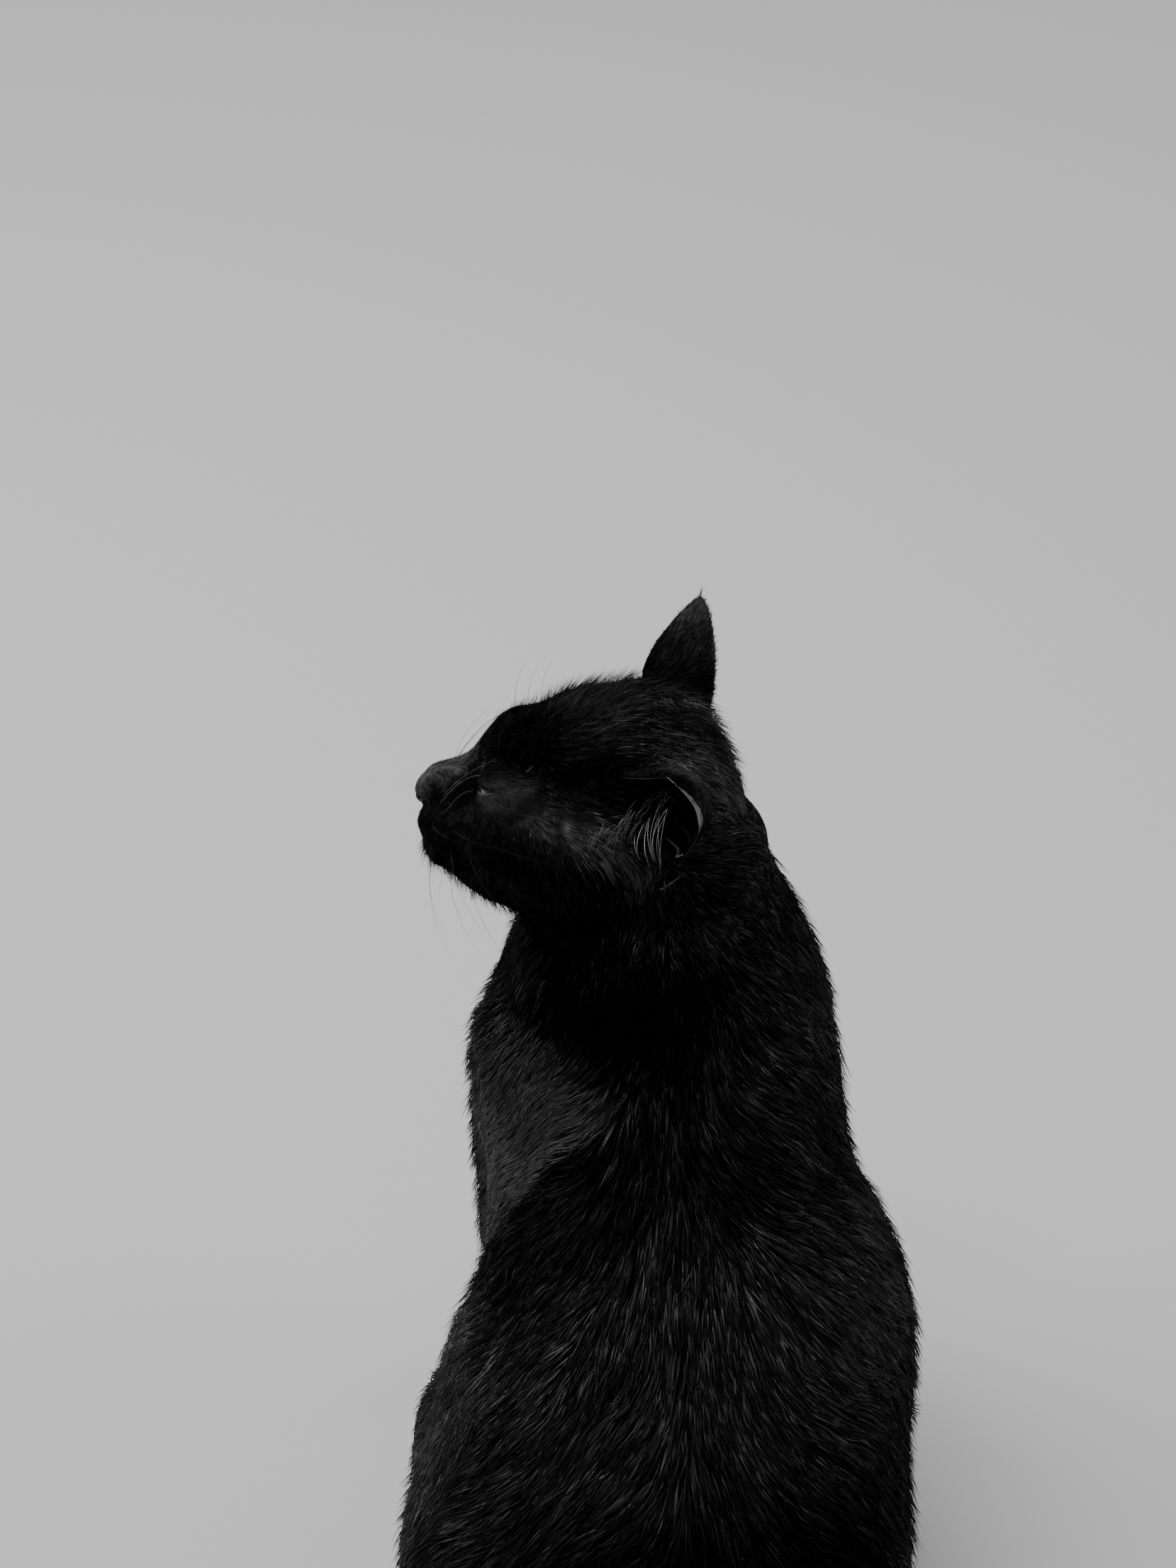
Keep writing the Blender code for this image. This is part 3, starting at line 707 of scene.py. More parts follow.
def strands(name, start, middle, tip, width, upward, mapped, tone, short):
    """One mesh of thin closed hairs, three-sided, through three points each, or straight."""
    count = len(start)
    side = unit(np.cross(upward, tip - start))
    lift = unit(np.cross(tip - start, side))
    half = width[:, None] * 0.5
    rings = []
    for place, size in ((start, 0.85), (middle, 1.0))[: 1 if short else 2]:
        rings += [place + side * half * size, place - side * half * size,
                  place + lift * half * size * 1.1]
    points = np.stack(rings + [tip], 1).reshape(-1, 3)
    points[:, 2] = np.maximum(points[:, 2], FLOOR)
    one, rise, spot = (np.array(row) for row in (STRAIGHT_HAIR if short else BENT_HAIR))
    step = len(rise) * np.arange(count)[:, None, None]
    made = object_of(name, points, (one[None] + step).reshape(-1, 3))
    places = mapped[:, None, :] * (1 - PATCH) + np.stack([spot, rise], 1)[None] * PATCH
    layer = made.data.uv_layers.new(name="OFBake")
    corner = np.empty(len(made.data.loops), np.int32)
    made.data.loops.foreach_get("vertex_index", corner)
    layer.data.foreach_set("uv", places.reshape(-1, 2)[corner].astype(np.float32).ravel())
    # each hair is painted darker at the root as shade in the coat and lighter at the tip as sheen
    put_tone(made, tone[:, None] * (SHADED_ROOT_TONE + (1 - SHADED_ROOT_TONE) * rise))
    return made


def coat_piece(pelt, name, chance, share):
    """One piece of the coat: hairs in locks, laid along the skin and lifted off it."""
    nodes, count, gather, where = PIECES[name]
    keep = np.isin(pelt.holder, [FLESH.index(node) for node in nodes]) & pelt.bears_hair
    if where:
        keep &= where(pelt)
    weight = pelt.areas * keep
    weight = weight / np.maximum(pelt.sizes[:, 1] * pelt.sizes[:, 2], 0.1) ** 0.7
    count = int(count * share)
    picked = chance.choice(len(weight), count, p=weight / weight.sum())
    a, b = np.sqrt(chance.random(count)), chance.random(count)
    corner = pelt.points[pelt.faces[picked]]
    root = ((1 - a)[:, None] * corner[:, 0] + (a * (1 - b))[:, None] * corner[:, 1]
            + (a * b)[:, None] * corner[:, 2])
    leaders = chance.choice(count, max(count // PER_LOCK, 1), replace=False)
    lookup = KDTree(len(leaders))
    for i, leader in enumerate(leaders.tolist()):
        lookup.insert(root[leader], i)
    lookup.balance()
    lead = leaders[[lookup.find(place)[1] for place in root.tolist()]]
    calm = pelt.calm[picked]
    lock = LOCK_TONE[0] + LOCK_TONE[1] * chance.random(count)[lead] ** LOCK_TONE[2]
    hair = HAIR_TONE[0] + HAIR_TONE[1] * chance.random(count) ** HAIR_TONE[2]
    bright = lock * hair + calm * (CALM_TONE - lock * hair)
    deep, long, wide = (pelt.sizes[picked, k] / 1000 for k in range(3))
    long = long * chance.normal(1, 0.16, count).clip(0.6, 1.5) * (1 - 0.4 * calm)
    wide = wide * chance.uniform(0.7, 1.15, count) * (0.9 + 0.5 * bright) * (1 - 0.3 * calm)
    lie = pelt.lie[picked]
    up = pelt.normals[picked]
    side = np.cross(up, lie)
    turn = chance.normal(0, HAIR_TURN, count) + LOCK_TURN * chance.normal(0, 1, count)[lead]
    turn = (turn * (1 - 0.5 * calm))[:, None]
    way = unit(lie + side * turn)
    middle, tip = np.empty_like(root), np.empty_like(root)
    up_middle, up_tip = np.empty_like(root), np.empty_like(root)
    for i in range(count):
        place, normal, face, _ = pelt.tree.find_nearest(root[i] + way[i] * long[i] * 0.5)
        middle[i], up_middle[i] = place, normal
        onward = pelt.lie[face] + side[i] * turn[i]
        place, normal, face, _ = pelt.tree.find_nearest(middle[i] + onward * long[i] * 0.5)
        tip[i], up_tip[i] = place, normal
    proud = 1 + chance.normal(0, 0.08, count).clip(-0.25, 0.2) * (1 - 0.6 * calm)
    loose = 0.5 * (chance.random(count) + chance.random(count)[lead]) < pelt.loose[picked]
    stand = pelt.stand[picked] * chance.uniform(0.3, 1.0, count)
    stand = loose * (stand + pelt.stand[picked] * 0.5 * chance.random(count)[lead])
    wide = np.where(loose, np.maximum(wide * 0.8, LOOSE_WIDTH), wide)
    pull = gather * chance.uniform(0.6, 1.2, count) * np.where(loose, 0.5, 1)
    pull = (pull * (1 - 0.8 * calm))[:, None]
    tone = bright * pelt.tint[picked] * np.where(loose, 0.5, 1)
    start = root - up * ROOT_DEPTH
    middle = middle + up_middle * (deep * MIDDLE_HIGH * proud + stand * 0.3)[:, None]
    tip = tip + up_tip * (deep * TIP_HIGH * proud + stand)[:, None]
    tip = tip + pull * (tip[lead] + (root - root[lead]) * 0.25 - tip)
    middle = middle + 0.4 * pull * (middle[lead] - middle)
    return strands(name, start, middle, tip, wide, up, pelt.mapped[picked], tone, name in SHORT)


# ---- materials
def maths(operation, swapped=False):
    """A sum of a wire and another value, which comes first where they are swapped."""
    def total(wire, other):
        values = (other, wire) if swapped else (wire, other)
        return wire.paint.node("Math", {"operation": operation}, dict(enumerate(values)))[0]
    return total


class Wire:
    """A shader socket that takes part in sums."""

    def __init__(self, paint, socket):
        self.paint, self.socket = paint, socket

    __add__ = __radd__ = maths("ADD")
    __mul__ = __rmul__ = maths("MULTIPLY")
    __rsub__ = maths("SUBTRACT", swapped=True)
    __truediv__ = maths("DIVIDE")
    __pow__ = maths("POWER")

    def between(self, low, high):
        """0 below low and 1 above high, smooth between."""
        settings = {"interpolation_type": "SMOOTHSTEP"}
        return self.paint.node("MapRange", settings, {0: self, 1: low, 2: high})[0]


class Paint:
    """A material on the Principled shader, and the nodes that feed it."""

    def __init__(self, name, colour, roughness, **fixed):
        self.material = bpy.data.materials.new(name)
        self.material.use_nodes = True
        self.tree = self.material.node_tree
        self.shader = self.tree.nodes["Principled BSDF"]
        self.shader.inputs["Base Color"].default_value = (*colour, 1)
        self.shader.inputs["Roughness"].default_value = roughness
        for name, value in fixed.items():
            self.shader.inputs[name.replace("_", " ")].default_value = value

    def node(self, kind, settings=None, inputs=None):
        made = self.tree.nodes.new("ShaderNode" + kind)
        for name, value in (settings or {}).items():
            setattr(made, name, value)
        for key, value in (inputs or {}).items():
            if isinstance(value, Wire):
                self.tree.links.new(value.socket, made.inputs[key])
            else:
                made.inputs[key].default_value = value
        return [Wire(self, socket) for socket in made.outputs]

    def feed(self, name, wire):
        self.tree.links.new(wire.socket, self.shader.inputs[name])

    def mix(self, amount, first, second):
        """A colour between two colours."""
        inputs = {0: amount, 6: first, 7: second}
        return self.node("Mix", {"data_type": "RGBA"}, inputs)[2]

    def place(self):
        return self.node("TexCoord")[3]

    def noise(self, scale, detail):
        inputs = {"Vector": self.place(), "Scale": scale, "Detail": detail}
        return self.node("TexNoise", None, inputs)[0]

    def tone(self):
        """How light the mesh says this place is."""
        return self.node("Attribute", {"attribute_name": "tone"})[2]

    def bump(self, height, distance, strength=1.0):
        inputs = {"Strength": strength, "Distance": distance, "Height": height}
        self.feed("Normal", self.node("Bump", None, inputs)[0])


BLACK, DUSK, SILVER, PALE = ((level, level, level, 1) for level in (0.0010, 0.004, 0.085, 0.20))


def hair_material():
    """Nearly black; the lighter hairs also have more sheen. Their tone carries the coat's painted
    sheen and painted shade, and where it is highest the colour turns pale as painted sheen.
    """
    paint = Paint("black hair", BLACK[:3], 0.6, Specular_IOR_Level=0.0, Coat_Roughness=0.36)
    tone = paint.tone()
    grey = tone * (0.5 + paint.noise(28, 3))
    dark = paint.mix(grey, BLACK, SILVER)
    # where the tone is highest, in the brightest painted sheen, the colour turns pale
    paint.feed("Base Color", paint.mix(tone.between(1.6, 3.2), dark, PALE))
    paint.feed("Coat Weight", grey * 0.9)
    return paint.material


def skin_material():
    """Black, and lighter where the coat over it is thin and light; the coat's painted sheen and
    shade show on it too.
    """
    paint = Paint("black skin", BLACK[:3], 0.6, Specular_IOR_Level=0.0)
    fine = paint.noise(900, 5)
    grey = paint.tone() * (0.4 + paint.noise(30, 3) * 0.6 + fine * 0.6)
    paint.feed("Base Color", paint.mix(grey, BLACK, SILVER))
    paint.feed("Roughness", 0.55 + fine * 0.2)
    paint.bump(fine + paint.noise(2600, 2) * 0.5, 0.0003)
    return paint.material


# the eye's colours; rings and pupil are in radii of the eyeball. The white and the iris are
# darkened nearly to black, painted shade from the brow over the eye
IRIS_LIGHT, IRIS_DARK = (0.030, 0.025, 0.009, 1), (0.015, 0.018, 0.008, 1)
IRIS_EDGE, SHADED_WHITE = (0.005, 0.006, 0.003, 1), (0.005, 0.0045, 0.004, 1)
PUPIL = (0.001, 0.001, 0.001, 1)
PUPIL_WIDE, PUPIL_HIGH = 0.17, 0.62


def eye_material(side):
    """Iris and slit pupil, drawn about the gaze."""
    paint = Paint("eye", (0.1, 0.09, 0.03), 0.15, Coat_Weight=0.35, Coat_Roughness=0.05)
    eye = eye_place(side)

    def vectors(operation, first, second):
        return paint.node("VectorMath", {"operation": operation}, {0: first, 1: second[:]})

    place = vectors("SUBTRACT", paint.place(), eye.translation)[0]

    def along(axis):
        return vectors("DOT_PRODUCT", place, eye.col[axis].to_3d().normalized() / EYE_RADIUS)[1]

    across, high = along(1), along(2)
    ring = (across * across + high * high) ** 0.5
    slit = ((across / PUPIL_WIDE) ** 2 + (high / PUPIL_HIGH) ** 2) ** 0.5
    inner = paint.mix(paint.noise(1500, 5), IRIS_LIGHT, IRIS_DARK)
    outer = paint.mix(ring.between(0.30, 0.62), inner, IRIS_EDGE)
    white = paint.mix(ring.between(0.74, 0.80), outer, SHADED_WHITE)
    paint.feed("Base Color", paint.mix(1 - slit.between(0.85, 1.1), white, PUPIL))
    return paint.material


def leather_material():
    """Bare skin of the nose, in small cells with dark gaps."""
    rough, light = 0.5, (0.0075, 0.0073, 0.0073)
    paint = Paint("nose leather", light, rough, Specular_IOR_Level=0.2, Coat_Weight=0.04,
                  Coat_Roughness=0.3)
    cells = paint.node("TexVoronoi", {"feature": "DISTANCE_TO_EDGE"},
                       {"Vector": paint.place(), "Scale": 1700.0})[0]
    grain = cells.between(0.0, 0.22)
    paint.feed("Roughness", rough + (1 - grain) * 0.25)
    dark = tuple(value * 0.45 for value in light)
    paint.feed("Base Color", paint.mix(grain, (*dark, 1), (*light, 1)))
    paint.bump(grain, 0.00016, 0.8)
    return paint.material


RIM_GRAIN = (700, 4, 0.0002)  # scale, detail and relief of the lids' and the ears' edges


def pale_material(name, light, roughness=0.35, scale=120, detail=2, relief=0):
    """Whiskers and thin bare skin, light where their tone is high."""
    paint = Paint(name, (light, light, light), roughness, Specular_IOR_Level=0.15)
    mottled = paint.tone() * (0.6 + paint.noise(scale, detail) * 0.8)
    paint.feed("Base Color", paint.mix(mottled, DUSK, (light, light, light, 1)))
    if relief:
        paint.bump(paint.noise(1500, 4), relief)
    return paint.material


# ---- eyes, nose, whiskers
CORNEA = 0.03  # how far it stands out, as a share of the eyeball's radius


def eyeball(name, side):
    made = ball(64, 40, EYE_RADIUS)
    made.name = made.data.name = "eyeball_" + name
    points = arrays_of(made.data)[0][:, [2, 0, 1]]  # the pole, on +Z so far, looks along the gaze
    points *= (1 + CORNEA * ramp(points[:, 0] / EYE_RADIUS, 0.70, 1.0))[:, None]
    put_points(made.data, points)
    made.data.transform(eye_place(side))
    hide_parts("eye_" + name)
    finish(made, eye_material(side))


def through(points, steps):
    """A smooth curve through points, as that many points along it."""
    rows = np.array(points, float)
    padded = np.vstack([2 * rows[0] - rows[1], rows, 2 * rows[-1] - rows[-2]])
    t = np.linspace(0, len(rows) - 1, steps)
    i = np.minimum(t.astype(int), len(rows) - 2)
    a, b, c, d = (padded[i + k] for k in range(4))
    f = (t - i)[:, None]
    return b + 0.5 * f * (c - a + f * (2 * a - 5 * b + 4 * c - d + f * (3 * b - a - 3 * c + d)))


def tubes(name, rows, sides, material):
    """One mesh of closed round tubes, from rows of a path, its radii and its tone or tones.
    All paths have the same number of points."""
    paths, radii, tones = (np.array(part, float) for part in zip(
        *((path, radius, tone + 0 * radius) for path, radius, tone in rows)))
    count, rings = len(paths), paths.shape[1] - 1
    along = unit(np.gradient(paths, axis=1))[:, :rings]
    level = np.abs(along.mean(axis=1)).argmin(axis=1)
    across = unit(np.cross(along, np.eye(3)[level][:, None]))
    other = np.cross(along, across)
    turn = math.tau * np.arange(sides) / sides
    rim = (np.cos(turn)[None, None, :, None] * across[:, :, None]
           + np.sin(turn)[None, None, :, None] * other[:, :, None])
    round_paths = paths[:, :rings, None] + rim * radii[:, :rings, None, None]
    points = np.concatenate([round_paths.reshape(count, -1, 3), paths[:, -1:], paths[:, :1]], 1)
    shades = np.concatenate([np.repeat(tones[:, :rings], sides, 1), tones[:, -1:], tones[:, :1]], 1)

    k = np.arange(sides)
    after = (k + 1) % sides
    low = np.arange(rings - 1)[:, None] * sides
    a, b, c, d = low + k, low + after, low + sides + after, low + sides + k
    last, top = rings * sides + 0 * k, (rings - 1) * sides
    one = [np.stack(corners, -1).reshape(-1, 3) for corners in (
        (a, b, c), (a, c, d), (top + k, top + after, last), (after, k, last + 1))]
    one = np.concatenate(one)
    faces = one[None] + points.shape[1] * np.arange(count)[:, None, None]
    made = object_of(name, points.reshape(-1, 3), faces.reshape(-1, 3))
    put_tone(made, shades)
    finish(made, material)


def lid_rims():
    """The bare wet edges of the lids, the lower one thicker and painted lighter, a painted
    highlight where it faces up into the light.
    """
    rows = []
    across = np.cos(np.linspace(0, math.pi, 33))
    reach = 1 - across**2
    for _, side in SIDES:
        for high, power, thick, tone in ((LID_UP, 0.75, 0.00028, 0.01), (-LID_LOW, 1, 0.00048, 1)):
            y, z = SLIT_MIDDLE + SLIT_WIDE * across, SLIT_RISE + high * reach**power
            x = np.sqrt((EYE_RADIUS + 0.0003) ** 2 - y**2 - z**2)
            path = placed(np.stack([x, y, z], 1), eye_place(side))
            rows.append((path, thick * (0.4 + 0.6 * reach**0.5), tone * (0.3 + 0.7 * reach)))
    tubes("lid_rims", rows, 8, pale_material("lid rim", 0.040, 0.3, *RIM_GRAIN))


RIM_LIFT, RIM_ROUNDS = 0.0001, 28  # how far the ears' rims lie off the skin, and how smoothed


def laid_on(pelt, path):
    """A path drawn to just above the skin and smoothed."""
    found = [pelt.tree.find_nearest(place)[:2] for place in path.tolist()]
    rows = np.array([place for place, _ in found])
    rows = rows + unit(np.array([normal for _, normal in found])) * RIM_LIFT
    for _ in range(RIM_ROUNDS):
        rows[1:-1] = 0.5 * rows[1:-1] + 0.25 * (rows[:-2] + rows[2:])
    return rows


def ear_rims(pelt):
    """The thin edge of each ear, with the folds at the foot of its cup."""
    t = np.linspace(0, 1, 40)
    swell = np.sin(np.pi * np.linspace(0.04, 0.96, 40)) ** 0.5
    lines = []
    front, tip, notch, bow = (np.array(row) for row in (EAR_FRONT, EAR_TIP, EAR_NOTCH, EAR_BOW))
    for _, side in SIDES:
        pull = np.array(EAR_REAR[side])
        u = (0.20 + 0.80 * t)[:, None]
        rear = (1 - u) ** 2 * notch + 2 * u * (1 - u) * pull + u * u * tip
        # the rear rim is lighter in its middle: the bare skin's own grey and a painted highlight
        # where it catches the light
        bright = ramp(u[:, 0], 0.44, 0.60)
        thick = 0.24 + 0.46 * bright * ramp(u[:, 0], 1.0, 0.72)
        lines.append((side, rear, thick, 0.03 + 0.97 * bright))
        u = (0.10 + 0.90 * t)[:, None]
        wander = 0.25 * np.sin(11 * t)[:, None] * [0, 0.5, 1]
        edge = front + u * (tip - front) + 4 * u * (1 - u) * bow + wander
        lines.append((side, edge, 0.14, 0.03 * ramp(t, 0.1, 0.6)))
        for line, thick, tone in EAR_FOLDS:
            lines.append((side, through(line, 40), thick, tone))
    rows = [(laid_on(pelt, from_head(line / 1000, side)), thick / 1000 * swell, tone)
            for side, line, thick, tone in lines]
    tubes("ear_rims", rows, 8, pale_material("ear rim", 0.30, 0.4, *RIM_GRAIN))


PAD_RADII = (0.0043, 0.0062, 0.0050)
PAD_TURN = math.radians(-2)  # nods the pad up
PAD_SEAT = Vector((0.0007, 0, 0.0008))  # how far back and down it sits
NOSTRIL = ((4.0, 2.1, -1.3), (3.4, 3.7, -1.1), (2.4, 5.2, 0.2))  # in millimetres from its middle
GROOVE = ((4.6, 0, -1.0), (4.2, 0, -3.0), (3.0, 0, -5.4))


def nose_pad():
    """The bare nose, with its two comma-shaped nostrils and the groove between them."""
    pad = ball(96, 64)
    pad.name = pad.data.name = "nose_pad"
    p = arrays_of(pad.data)[0][:, [1, 2, 0]]
    front = np.clip(p[:, 0], 0, 1)
    p = np.sign(p) * np.abs(p) ** 0.86
    wide = 1.02 - 0.45 * ramp(-p[:, 2], -0.2, 0.95)
    p = p * PAD_RADII * np.stack([np.ones(len(p)), wide, np.ones(len(p))], 1)
    p[:, 0] -= 0.0012 * ramp(p[:, 2], 0.0008, 0.0052)
    nostril, groove = (near_line(folded(p), line)[0] for line in (NOSTRIL, GROOVE))
    p[:, 0] -= (2.2 * bell(nostril, 0.85) + 0.7 * bell(groove, 0.5)) / 1000 * front
    put_points(pad.data, p)
    seat = Matrix.Translation(NOSE_CENTRE - PAD_SEAT)
    pad.data.transform(HEAD @ seat @ Matrix.Rotation(PAD_TURN, 4, "Y"))
    builder = bmesh.new()
    builder.from_mesh(pad.data)
    bmesh.ops.recalc_face_normals(builder, faces=builder.faces)
    builder.to_mesh(pad.data)
    builder.free()
    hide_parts("nose")
    finish(pad, leather_material())


STEPS = 10  # points along a hair
TAPER = (1 - np.linspace(0, 1, STEPS)) ** 0.8  # thickness of a whisker from its root
BROW_ARCS = (  # the top row, which bends up past the eye: points and radius in millimetres
    (((59, 9.5, -6), (55.5, 12.2, 2), (51.5, 13.8, 8.5), (48, 15.3, 12), (43.5, 17.2, 14.2)), 0.10),
    (((58, 8.5, -3), (54, 10.8, 5), (49.8, 12.3, 10.8), (45.9, 13.3, 15), (42, 14.2, 19)), 0.08),
    (((55.5, 11.8, -4), (53.5, 13, 0.5), (50.8, 14, 4.4), (47.4, 16.4, 7.8)), 0.08),
    (((33.0, 18.9, 18.9), (32.1, 19.4, 20.4), (31.2, 19.2, 21.8)), 0.13),  # a stray pale hair
)


def arc(start, way, bend, length):
    """Points along a hair that leaves on its way and bends."""
    t = np.linspace(0, 1, STEPS)[:, None]
    onward = unit(unit(np.array(way, float)) + t * np.array(bend, float)) * length / (STEPS - 1)
    return np.array(start, float) + np.vstack([0 * onward[:1], np.cumsum(onward[:-1], axis=0)])


def whiskers(chance):
    """Three rows on each lip, a few over and beside each eye and a few on the chin."""
    hairs = []
    for row in range(1, 4):
        for k in range(3 + (row in (1, 2))):
            start = (58.5 - 4.5 * k, 10.7 + 1.8 * k, -7.0 - 2.8 * row)
            up = 1 - 0.7 * row
            way = (0.05 - 0.2 * k, 0.65, up + 0.05)
            bend = (-1.0 + 0.15 * row, -0.35, -0.45 * up - 0.1)
            hairs.append((start, way, bend, 38 + 3 * k, 0.07, 0.08))
    for k in range(3):
        start = (41.5 - 3.5 * k, 13.2 + 3.0 * k, 19.0 - 0.5 * k)
        hairs.append((start, (0.2, 0.35, 1.0), (-0.9, 0.1, 0), 22 - 3 * k, 0.065, 0.03))
    for k in range(3):
        start = (55 - 4 * k, 4 + 2 * k, -29)
        hairs.append((start, (0.3, 0.5, -1), (-0.5, 0, 0), 14, 0.06, 0.3))
    rows = []
    for _, side in SIDES:
        for start, way, bend, length, thick, tone in hairs:
            long = length * chance.uniform(0.85, 1.15)
            path = from_head(arc(start, way, bend, long) / 1000, side)
            rows.append((path, thick / 1000 * TAPER, tone))
        # the brow arcs are drawn lighter than the other whiskers, painted sheen on black hair; the
        # stray hair among them is pale of itself
        for line, thick in BROW_ARCS:
            path = from_head(through(line, STEPS) / 1000, side)
            rows.append((path, thick / 1000 * (0.35 + 0.65 * TAPER), 1))
    tubes("whiskers", rows, 5, pale_material("whisker", 0.09))


EAR_HAIRS, PALE_HAIRS, TIP_HAIRS = 90, 12, 7  # in each cup, the pale ones of them, at its tip


def ear_hairs(chance):
    """Long hairs that cross each ear's cup in arcs, from its front wall down to its notch, the
    fine dark ones above them, and the wisp at each ear's tip."""
    rows = []
    for _, side in SIDES:
        for k in range(EAR_HAIRS):
            pale = k < PALE_HAIRS
            t = (k + chance.uniform(-0.8, 0.8)) / 11 if pale else chance.uniform(-1.1, 1.2)
            start = np.array([-0.6 - 9.2 * t, 30.4 - 3.0 * t, 14.5 + 6.5 * t])
            end = np.array([-3.2 - 8.3 * t, 32.4, 5.3 - 2.6 * t])
            if not pale:
                start = start + chance.uniform(0, 1) * np.array([2.0, 3.5, 8.5])
                end = start + np.array([1.6, 1.4, -6.5]) * chance.uniform(0.6, 1.2)
            start = start + chance.normal(0, 0.5, 3) * [1, 1, 3 if pale else 1]
            end = end + chance.normal(0, 1.0, 3)
            run = end - start
            bulge = np.array([0.45, 0.50, 0.1]) * chance.uniform(0.3, 1.7)
            way = unit(run) + bulge
            bend = -2 * bulge / np.linalg.norm(way)
            path = from_head(arc(start, way, bend, np.linalg.norm(run)) / 1000, side)
            rows.append((path, (0.095 if pale else 0.07) / 1000 * TAPER,
                         chance.uniform(0.5, 1.0) if pale else 0.11))
        for _ in range(TIP_HAIRS):
            start = np.array(EAR_TIP) + chance.normal(0, 0.35, 3)
            way = np.array([-0.15, 0.55, 0.55]) + chance.normal(0, 0.18, 3)
            path = from_head(arc(start - unit(way), way, (0.7, 0, 0), 3.6) / 1000, side)
            rows.append((path, 0.085 / 1000 * TAPER, 0))
    tubes("ear_hair", rows, 4, pale_material("ear hair", 0.9))


# ---- the room
LAMPS = (  # place, target, size and power
    ("sky", (-0.45, 0.30, 2.2), (0, 0.05, 0.2), 1.4, 52),
    ("window", (-2.0, 0.3, 1.4), (0, 0.05, 0.25), 1.2, 30),
    ("side", (1.9, 0.0, 1.6), (0, 0.05, 0.25), 1.0, 14),
    ("rim", (0.9, 1.9, 1.5), (0, 0.05, 0.25), 1.0, 5),
)
WORLD_LIGHT = 0.14
CAMERA_PLACE = (-0.0512, -0.3768, 0.8315)
CAMERA_DOWN = math.radians(46)  # the camera looks along +Y, this far below level
SENSOR, LENS = 36, 54.0977  # millimetres


def room():
    deselect()
    bpy.ops.mesh.primitive_plane_add(size=6)
    floor = bpy.context.object
    floor.name = "floor"
    floor.data.materials.append(Paint("pale floor", (0.5, 0.5, 0.5), 0.8).material)
    world = bpy.data.worlds.new("studio")
    bpy.context.scene.world = world
    world.use_nodes = True
    background = world.node_tree.nodes["Background"].inputs
    background[0].default_value = (1, 1, 1, 1)
    background[1].default_value = WORLD_LIGHT
    for name, place, target, size, power in LAMPS:
        light = bpy.data.lights.new(name, "AREA")
        light.shape, light.size, light.energy = "DISK", size, power
        lamp = linked(name, light)
        lamp.location = place
        lamp.rotation_euler = (Vector(target) - Vector(place)).to_track_quat("-Z", "Y").to_euler()


def camera():
    """Looks down on the cat from behind its back."""
    data = bpy.data.cameras.new("camera")
    data.sensor_width, data.lens, data.clip_start = SENSOR, LENS, 0.05
    made = linked("camera", data)
    made.location = CAMERA_PLACE
    made.rotation_euler = (math.pi / 2 - CAMERA_DOWN, 0, 0)
    bpy.context.scene.camera = made


# ---- all together
SEED = 7
NOSE_REACH = (0.0046, 0.0066, 0.0054)  # no hair grows within this of the nose's middle
EYE_REACH, MOUTH_REACH, SOLE = 0.0004, 0.9, 0.0006  # nor here: off the lids, mouth (mm), floor
SHORTER_FACE = (0.60, 0.57, 0.30)  # share of depth, length and width lost at the nose
SHORTER_LIDS = (0.6, 0.5, 0.3)  # and round the eyes
IN_CUP = 0.25  # share of the hairs that grow inside the ears
HEAD_LIGHT_FRAY, BODY_FRAY, FOLD_FRAY = 0.5, 0.8, 0.1  # shares of the drift that fray the edges
PANEL_SHEEN, SHADE_TONE = 3.5, (0.15, 0.45)  # painted sheen before the fold; painted shade behind it at first, and added


def lay_out(pelt, off_eye, front):
    """Size and looseness of the hair on each face, and where none grows."""
    head, on_head, on_ear = pelt.head, pelt.on("head"), pelt.on(*EARS)
    at_points = np.zeros((len(pelt.points), 3))
    for k in range(3):
        np.add.at(at_points, pelt.faces[:, k], COAT_TABLE[pelt.owner, :3])
    soft = relaxed(at_points / pelt.weight[:, None], pelt.edges, 30)
    pelt.sizes = soft[pelt.faces].mean(axis=1)
    pelt.sizes *= 1 - front[:, None] * SHORTER_FACE
    pelt.sizes *= 1 - (on_head * ramp(off_eye, 0.018, 0.011))[:, None] * SHORTER_LIDS
    off_nose = norm((head - NOSE_CENTRE) / NOSE_REACH)
    bare = (off_nose < 1) | (pelt.centres[:, 2] < SOLE)
    for _, side in SIDES:
        bare |= lid_gap(pelt.centres, side)[0] < EYE_REACH
    mouth, _ = near_line(folded(head), CREASES[0][0])
    pelt.bears_hair = ~(bare | (on_head & (mouth < MOUTH_REACH)))
    for name, side in SIDES:
        inside = pelt.normals @ np.array(HEAD.to_3x3() @ mirrored(EAR_OPEN, side)) > 0.1
        pelt.areas[pelt.on("ear_" + name) & inside] *= IN_CUP
    top = on_head * ramp(head[:, 2], 0.010, 0.022) * ramp(off_eye, 0.012, 0.018)
    chin = on_head * ramp(head[:, 2], -0.016, -0.026)
    body = ramp(pelt.sizes[:, 0], 2, 5)
    pelt.loose = 0.16 + 0.15 * (1 - front) * body + 0.24 * top + 0.16 * (chin + on_ear)
    pelt.stand = 0.0004 + 0.0028 * ramp(pelt.sizes[:, 0], 1.5, 4.5) * (1 - 0.7 * front)
    pelt.stand = pelt.stand + 0.0036 * top + 0.0026 * chin + 0.0006 * on_ear


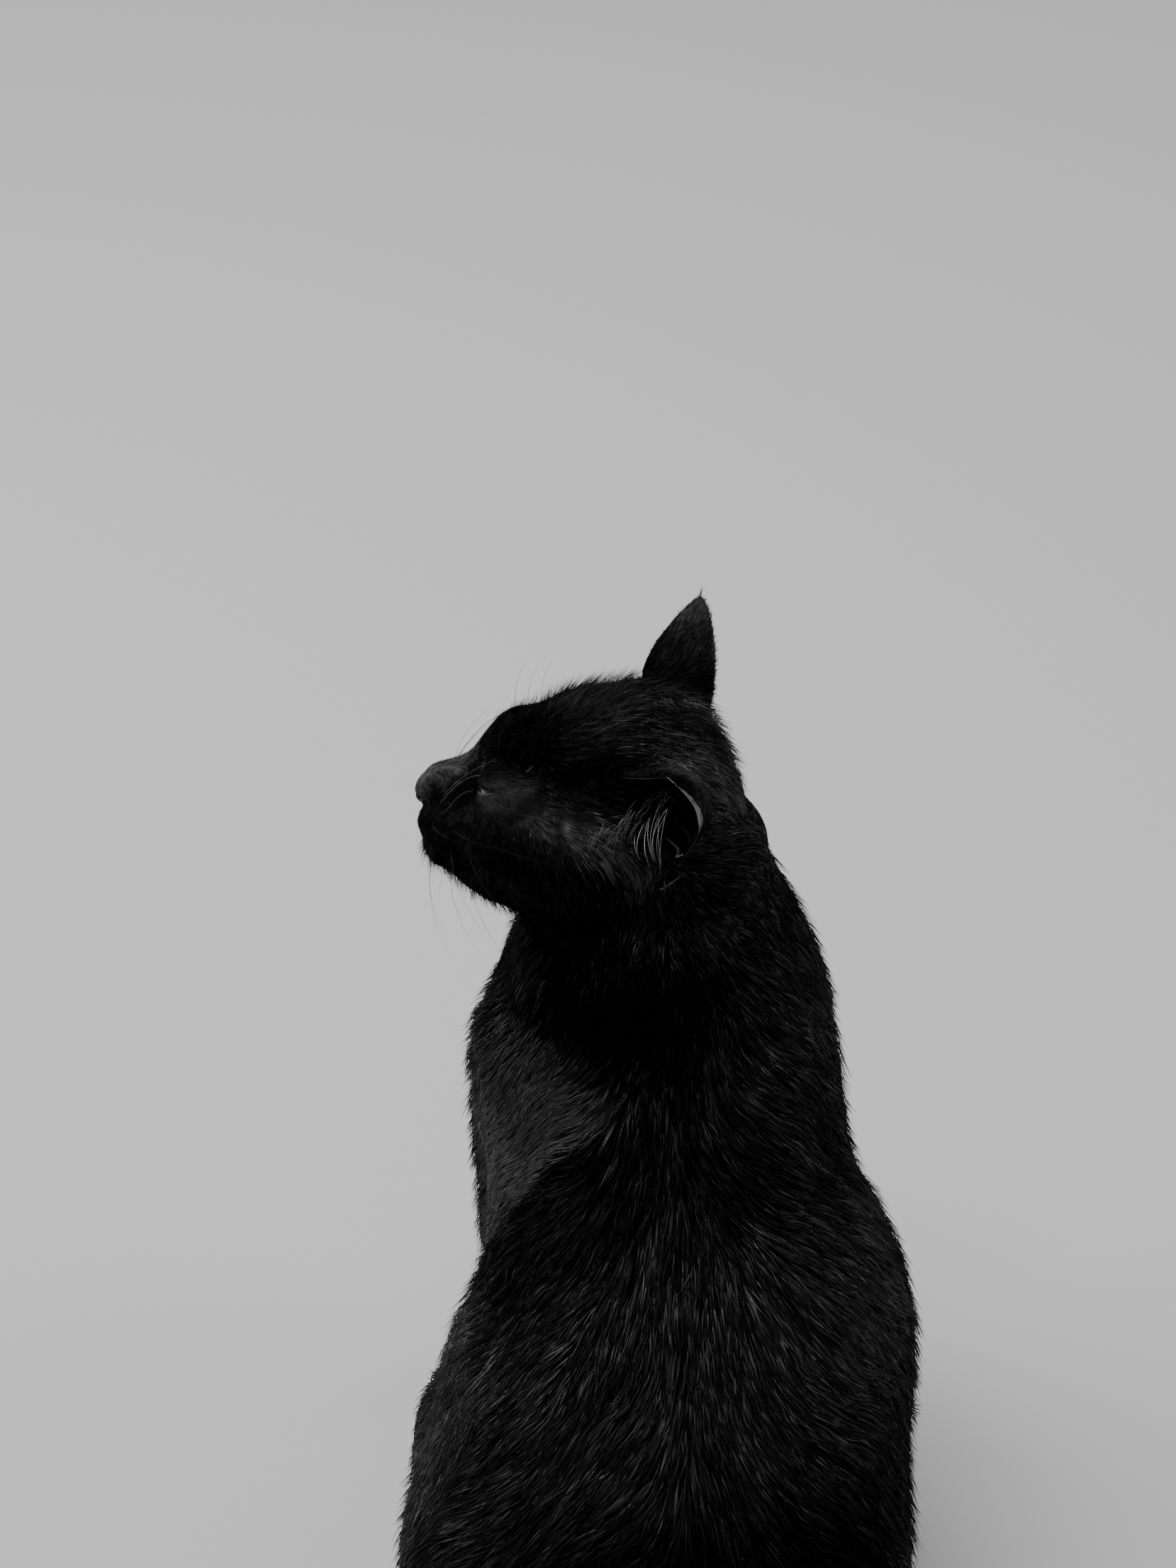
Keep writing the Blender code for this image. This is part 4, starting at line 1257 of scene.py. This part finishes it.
def painted_light_and_calm(pelt):
    """How light and how calm the coat is on each face: painted sheen where the light falls and
    painted shade where it doesn't, with the tone of the coat itself.
    """
    drift = pelt.near - pelt.centres
    on_skull = pelt.on("head", *EARS)
    from_skull = norm(pelt.head - SKULL)
    # on the body the coat is darker near the skull, painted shade under the head, and lighter
    # farther off
    pelt.tint = np.where(on_skull, 1.0, 0.7 + 0.65 * ramp(from_skull, 0.045, 0.085))
    pelt.calm = np.zeros(len(drift))
    frayed = pelt.head + HEAD_LIGHT_FRAY * drift
    left, frayed = folded(frayed), frayed * 1000
    on_body = (pelt.centres + BODY_FRAY * drift) * 1000
    rows = [(frayed if np.min(row[0], axis=0)[1] < 0 else left, on_skull, row) for row in HEAD_SHEEN_AND_SHADE]
    for places, where, row in rows + [(on_body, 1, row) for row in BODY_SHEEN_AND_SHADE]:
        line, width, level, calm = row
        share = where * ramp(near_line(places, line)[0], width, width * 0.3)
        pelt.tint += share * (level - pelt.tint)
        pelt.calm += share * (calm - pelt.calm)
    past, fold, shade = over_fold(pelt.centres)
    past = past + FOLD_FRAY * drift[:, 0]
    # the shoulder before the fold gets painted sheen, and the back just behind it painted shade
    panel = (1 - on_skull) * fold * ramp(past, 0.0005, -0.002) * ramp(past, -0.055, -0.020)
    shade = (1 - on_skull) * shade * ramp(past, 0.0, 0.002) * ramp(past, 0.034, 0.012)
    pelt.tint += panel * (PANEL_SHEEN - pelt.tint)
    pelt.tint += shade * (SHADE_TONE[0] + SHADE_TONE[1] * ramp(past, 0.0, 0.012) - pelt.tint)
    pelt.calm = np.maximum(pelt.calm, 0.85 * panel)


def main():
    chance = np.random.default_rng(SEED)
    skin, tree, owner = grown_skin()
    pelt = Pelt(skin, tree, owner, chance)
    front = pelt.on("head") * ramp(pelt.head[:, 0], 0.0, 0.055)
    lay_out(pelt, off_eyes(pelt.head), front)
    painted_light_and_calm(pelt)
    pelt.mapped = pelt.unwrap()

    # the skin takes the coat's painted sheen and painted shade, most where the coat is calm
    skin_tone_and_light = pelt.tint * (0.02 + 0.25 * pelt.calm)
    at_points = sum(np.bincount(pelt.faces[:, k], skin_tone_and_light, len(pelt.points)) for k in range(3))
    put_tone(skin, at_points / pelt.weight)
    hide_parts(*FLESH)
    finish(skin, skin_material())
    hair = hair_material()
    share = 1.0
    for name in PIECES:
        piece = coat_piece(pelt, name, chance.spawn(1)[0], share)
        finish(piece, hair)
    for name, side in SIDES:
        eyeball(name, side)
    lid_rims()
    ear_rims(pelt)
    nose_pad()
    whiskers(chance)
    ear_hairs(chance)
    room()
    camera()


main()
